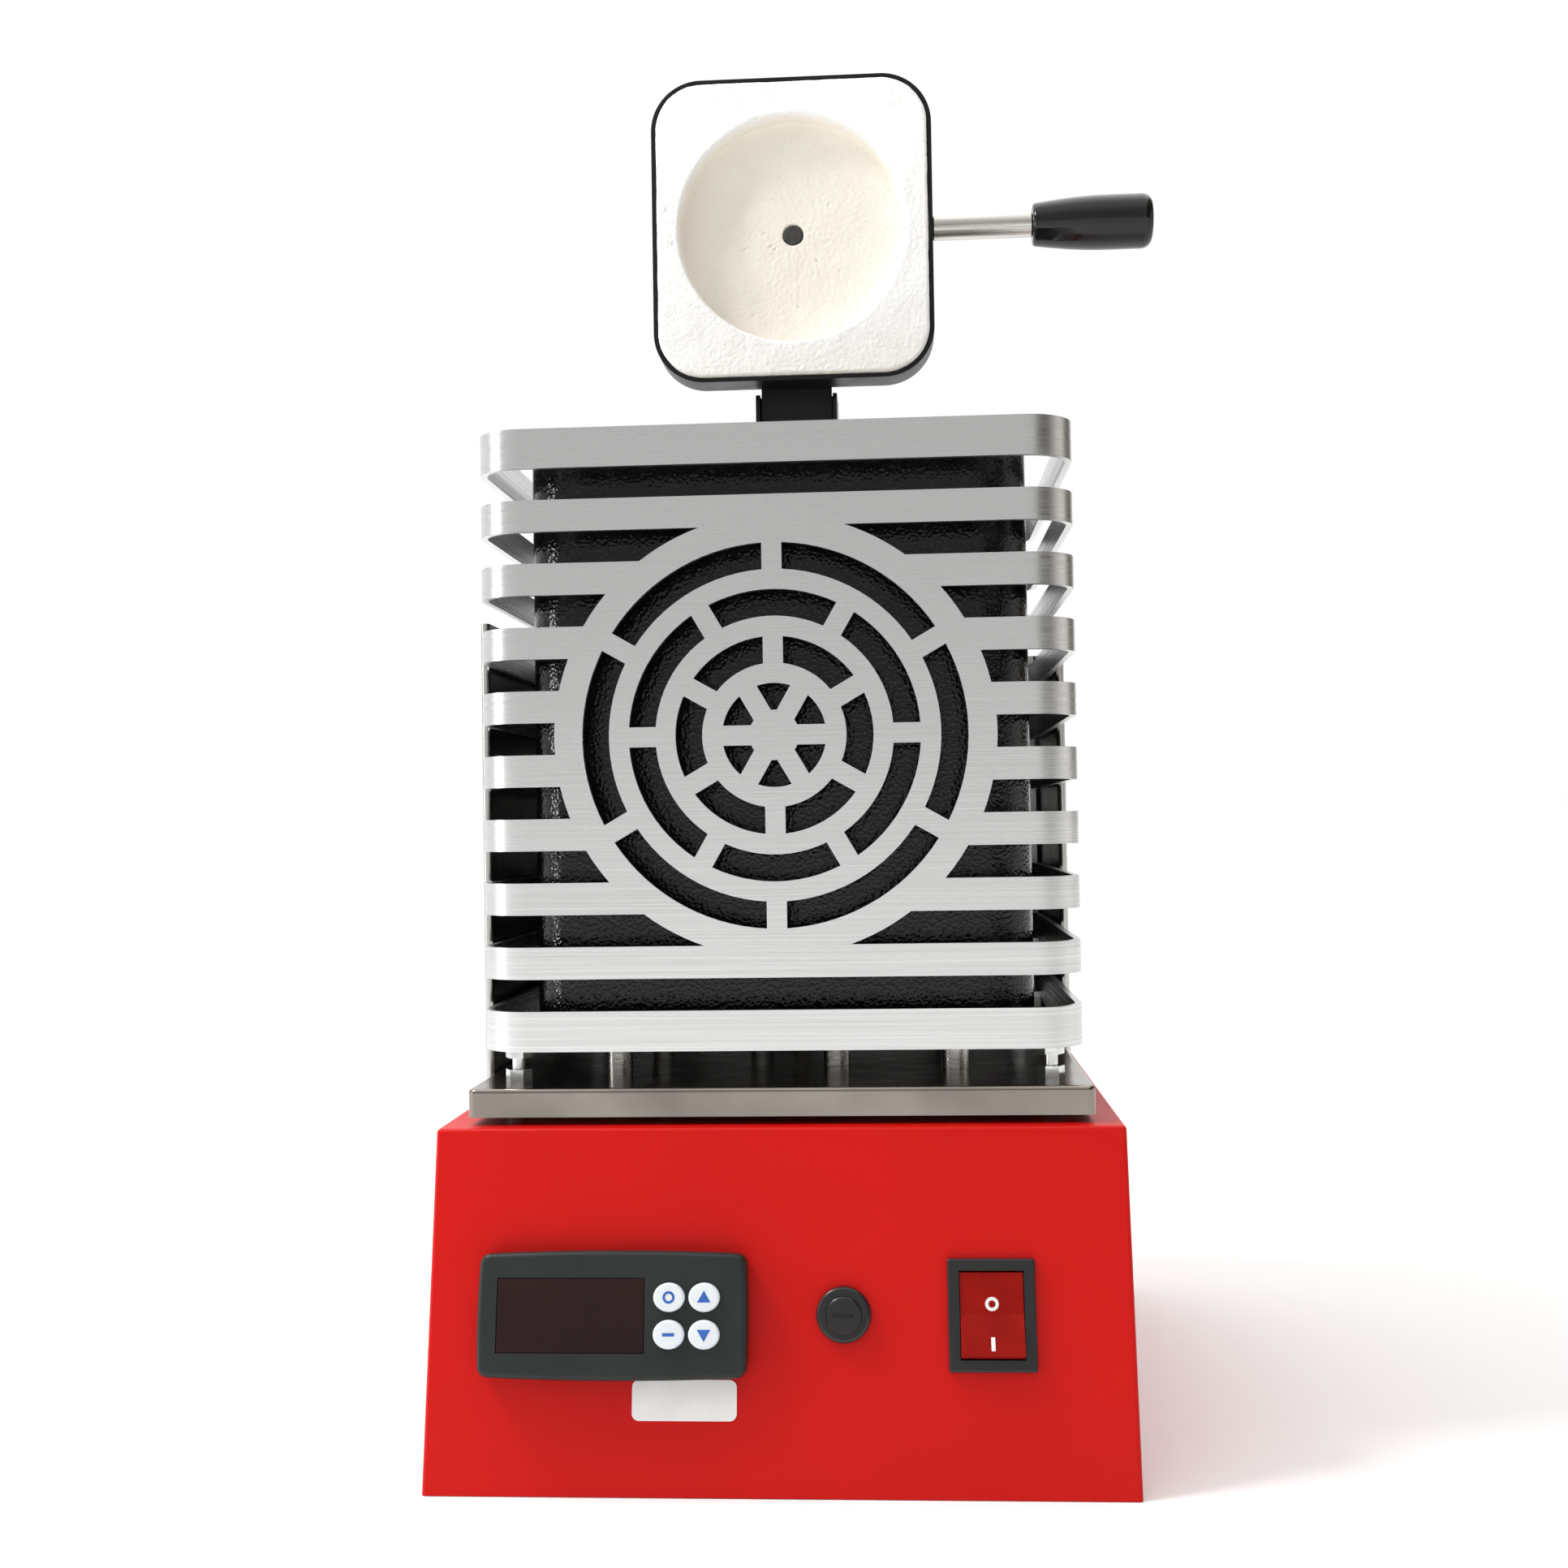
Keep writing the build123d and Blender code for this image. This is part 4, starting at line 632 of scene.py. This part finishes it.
# %% Turned grip
grip_low, grip_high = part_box("lid_handle_grip")
grip_length = grip_high.x - grip_low.x
grip_end_radius = (grip_high.z - grip_low.z) / 2
grip_start_radius = 7.75 * mm
grip_axis_y = (grip_low.y + grip_high.y) / 2
grip_axis_z = (grip_low.z + grip_high.z) / 2
swell_share = 0.62
rod_radius = 3.2 * mm
lip_round = 1.2 * mm
cap_length = 4.0 * mm
cap_drop = 3.2 * mm
grip_sides = 96


def grip_radius(share):
    """The grip's radius along its length: a slow swell, and a rounded lip at both ends."""
    swell = math.sin(min(share / swell_share, 1.0) * math.pi / 2)
    radius = grip_start_radius + (grip_end_radius - grip_start_radius) * swell
    lip = lip_round / grip_length
    if share < lip:
        radius -= lip_round * (1 - math.sqrt(max(0.0, 1 - (1 - share / lip) ** 2)))
    cap = cap_length / grip_length
    if share > 1 - cap:
        over = (share - 1 + cap) / cap
        radius -= cap_drop * (1 - math.sqrt(max(0.0, 1 - over ** 2)))
    return radius


def grip_ring(x, radius):
    """One ring of points round the grip's line."""
    spin = [2 * math.pi * i / grip_sides for i in range(grip_sides)]
    return [Vector((x, grip_axis_y + radius * math.cos(a), grip_axis_z + radius * math.sin(a))) for a in spin]


lip_shares = [k / 200 for k in range(8)]
body_shares = [k / 40 for k in range(2, 36)]
cap_shares = [0.9 + k / 300 for k in range(31)]
grip_rings = [grip_ring(grip_low.x, rod_radius)]
for share in lip_shares + body_shares + cap_shares:
    grip_rings.append(grip_ring(grip_low.x + grip_length * share, grip_radius(share)))
lid_grip = skin_of_rings("lid_grip", grip_rings, "grip_black", "lid")
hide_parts("lid_handle_grip")
print("grip:", round(grip_length / mm, 1), "mm long,", round(2 * grip_end_radius / mm, 1), "mm across")

# %% [markdown]
# ## Printed marks
# The keys carry small blue symbols and the rocker carries O and I. They are ink, a few hundredths
# of a millimetre thick. A pattern in the finish could draw them, but it would have to be placed anew
# for every key. Each one is instead a flat outline that is dropped on to the surface it is printed
# on, so it follows the rocker's slant and moves with it.

# %% Laying ink on a surface
make_finish("ink_blue", (0.02, 0.10, 0.42), (0.03, 0.14, 0.52), (0.35, 0.5), mottle=300)
make_finish("ink_white", (0.80, 0.80, 0.80), (0.88, 0.88, 0.88), (0.35, 0.5), mottle=300)
press = next(j for j in frame["joints"] if j["child"] == "button_up")
panel_out = -Vector(press["axis"]).normalized()
panel_across = Vector((1, 0, 0))
panel_up = panel_out.cross(panel_across).normalized()
ink = 0.05 * mm
drop = 30 * mm
face_depth = 0.1 * mm
round_sides = 40


def face_middle(node):
    """The middle of a part's outermost face, seen from in front of the panel."""
    points = [v.co for v in frame["nodes"][node].data.vertices]
    outermost = max(p.dot(panel_out) for p in points)
    near = [p for p in points if p.dot(panel_out) > outermost - face_depth]
    across = [p.dot(panel_across) for p in near]
    up = [p.dot(panel_up) for p in near]
    middle_across = (min(across) + max(across)) / 2
    middle_up = (min(up) + max(up)) / 2
    return panel_across * middle_across + panel_up * middle_up + panel_out * outermost


def print_mark(name, node, place, outer, inner=None, finish="ink_blue"):
    """A printed shape: an outline in panel millimetres, with a hole where inner is given. It rides
    on the body that its part is named after."""
    part = frame["nodes"][node].data
    surface = BVHTree.FromPolygons([v.co for v in part.vertices], [p.vertices for p in part.polygons])
    loops = [outer, inner] if inner else [outer]
    points = []
    for lift in (ink, -ink):
        for loop in loops:
            for x, y in loop:
                above = place + (panel_across * x + panel_up * y) * mm + panel_out * drop
                hit, _, _, _ = surface.ray_cast(above, -panel_out)
                points.append(hit + panel_out * lift)
    count = len(outer)
    half = count * len(loops)
    faces = []
    for i in range(count):
        j = (i + 1) % count
        faces.append((i, half + i, half + j, j))
        if inner:
            faces.append((count + j, half + count + j, half + count + i, count + i))
            faces.append((i, j, count + j, count + i))
            faces.append((half + i, half + count + i, half + count + j, half + j))
    if not inner:
        faces.append(tuple(range(count)))
        faces.append(tuple(reversed(range(half, half + count))))
    make_piece(name, points, faces, finish, node)
    print(name, "printed on", node)


def round_outline(radius):
    """A circle of points, in panel millimetres."""
    spin = [2 * math.pi * i / round_sides for i in range(round_sides)]
    return [(radius * math.cos(a), radius * math.sin(a)) for a in spin]


# %% The keys' symbols
triangle = [(-1.9, -1.35), (1.9, -1.35), (0.0, 1.9)]
upside_down = [(x, -y) for x, y in reversed(triangle)]
bar = [(-1.7, -0.45), (1.7, -0.45), (1.7, 0.45), (-1.7, 0.45)]
print_mark("mark_up", "button_up", face_middle("button_up"), triangle)
print_mark("mark_down", "button_down", face_middle("button_down"), upside_down)
print_mark("mark_ring", "button_menu", face_middle("button_menu"), round_outline(1.7), round_outline(1.0))
print_mark("mark_bar", "button_set", face_middle("button_set"), bar)

# %% The rocker's O and I
rocker_low, rocker_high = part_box("switch_rocker")
rocker_middle = (rocker_low + rocker_high) / 2
off_rise = 2.7 * mm
on_drop = 7.9 * mm
off_place = rocker_middle + panel_up * off_rise
on_place = rocker_middle - panel_up * on_drop
stroke = [(-0.55, -1.8), (0.55, -1.8), (0.55, 1.8), (-0.55, 1.8)]
print_mark("mark_off", "switch_rocker", off_place, round_outline(1.9), round_outline(1.0),
           finish="ink_white")
print_mark("mark_on", "switch_rocker", on_place, stroke, finish="ink_white")
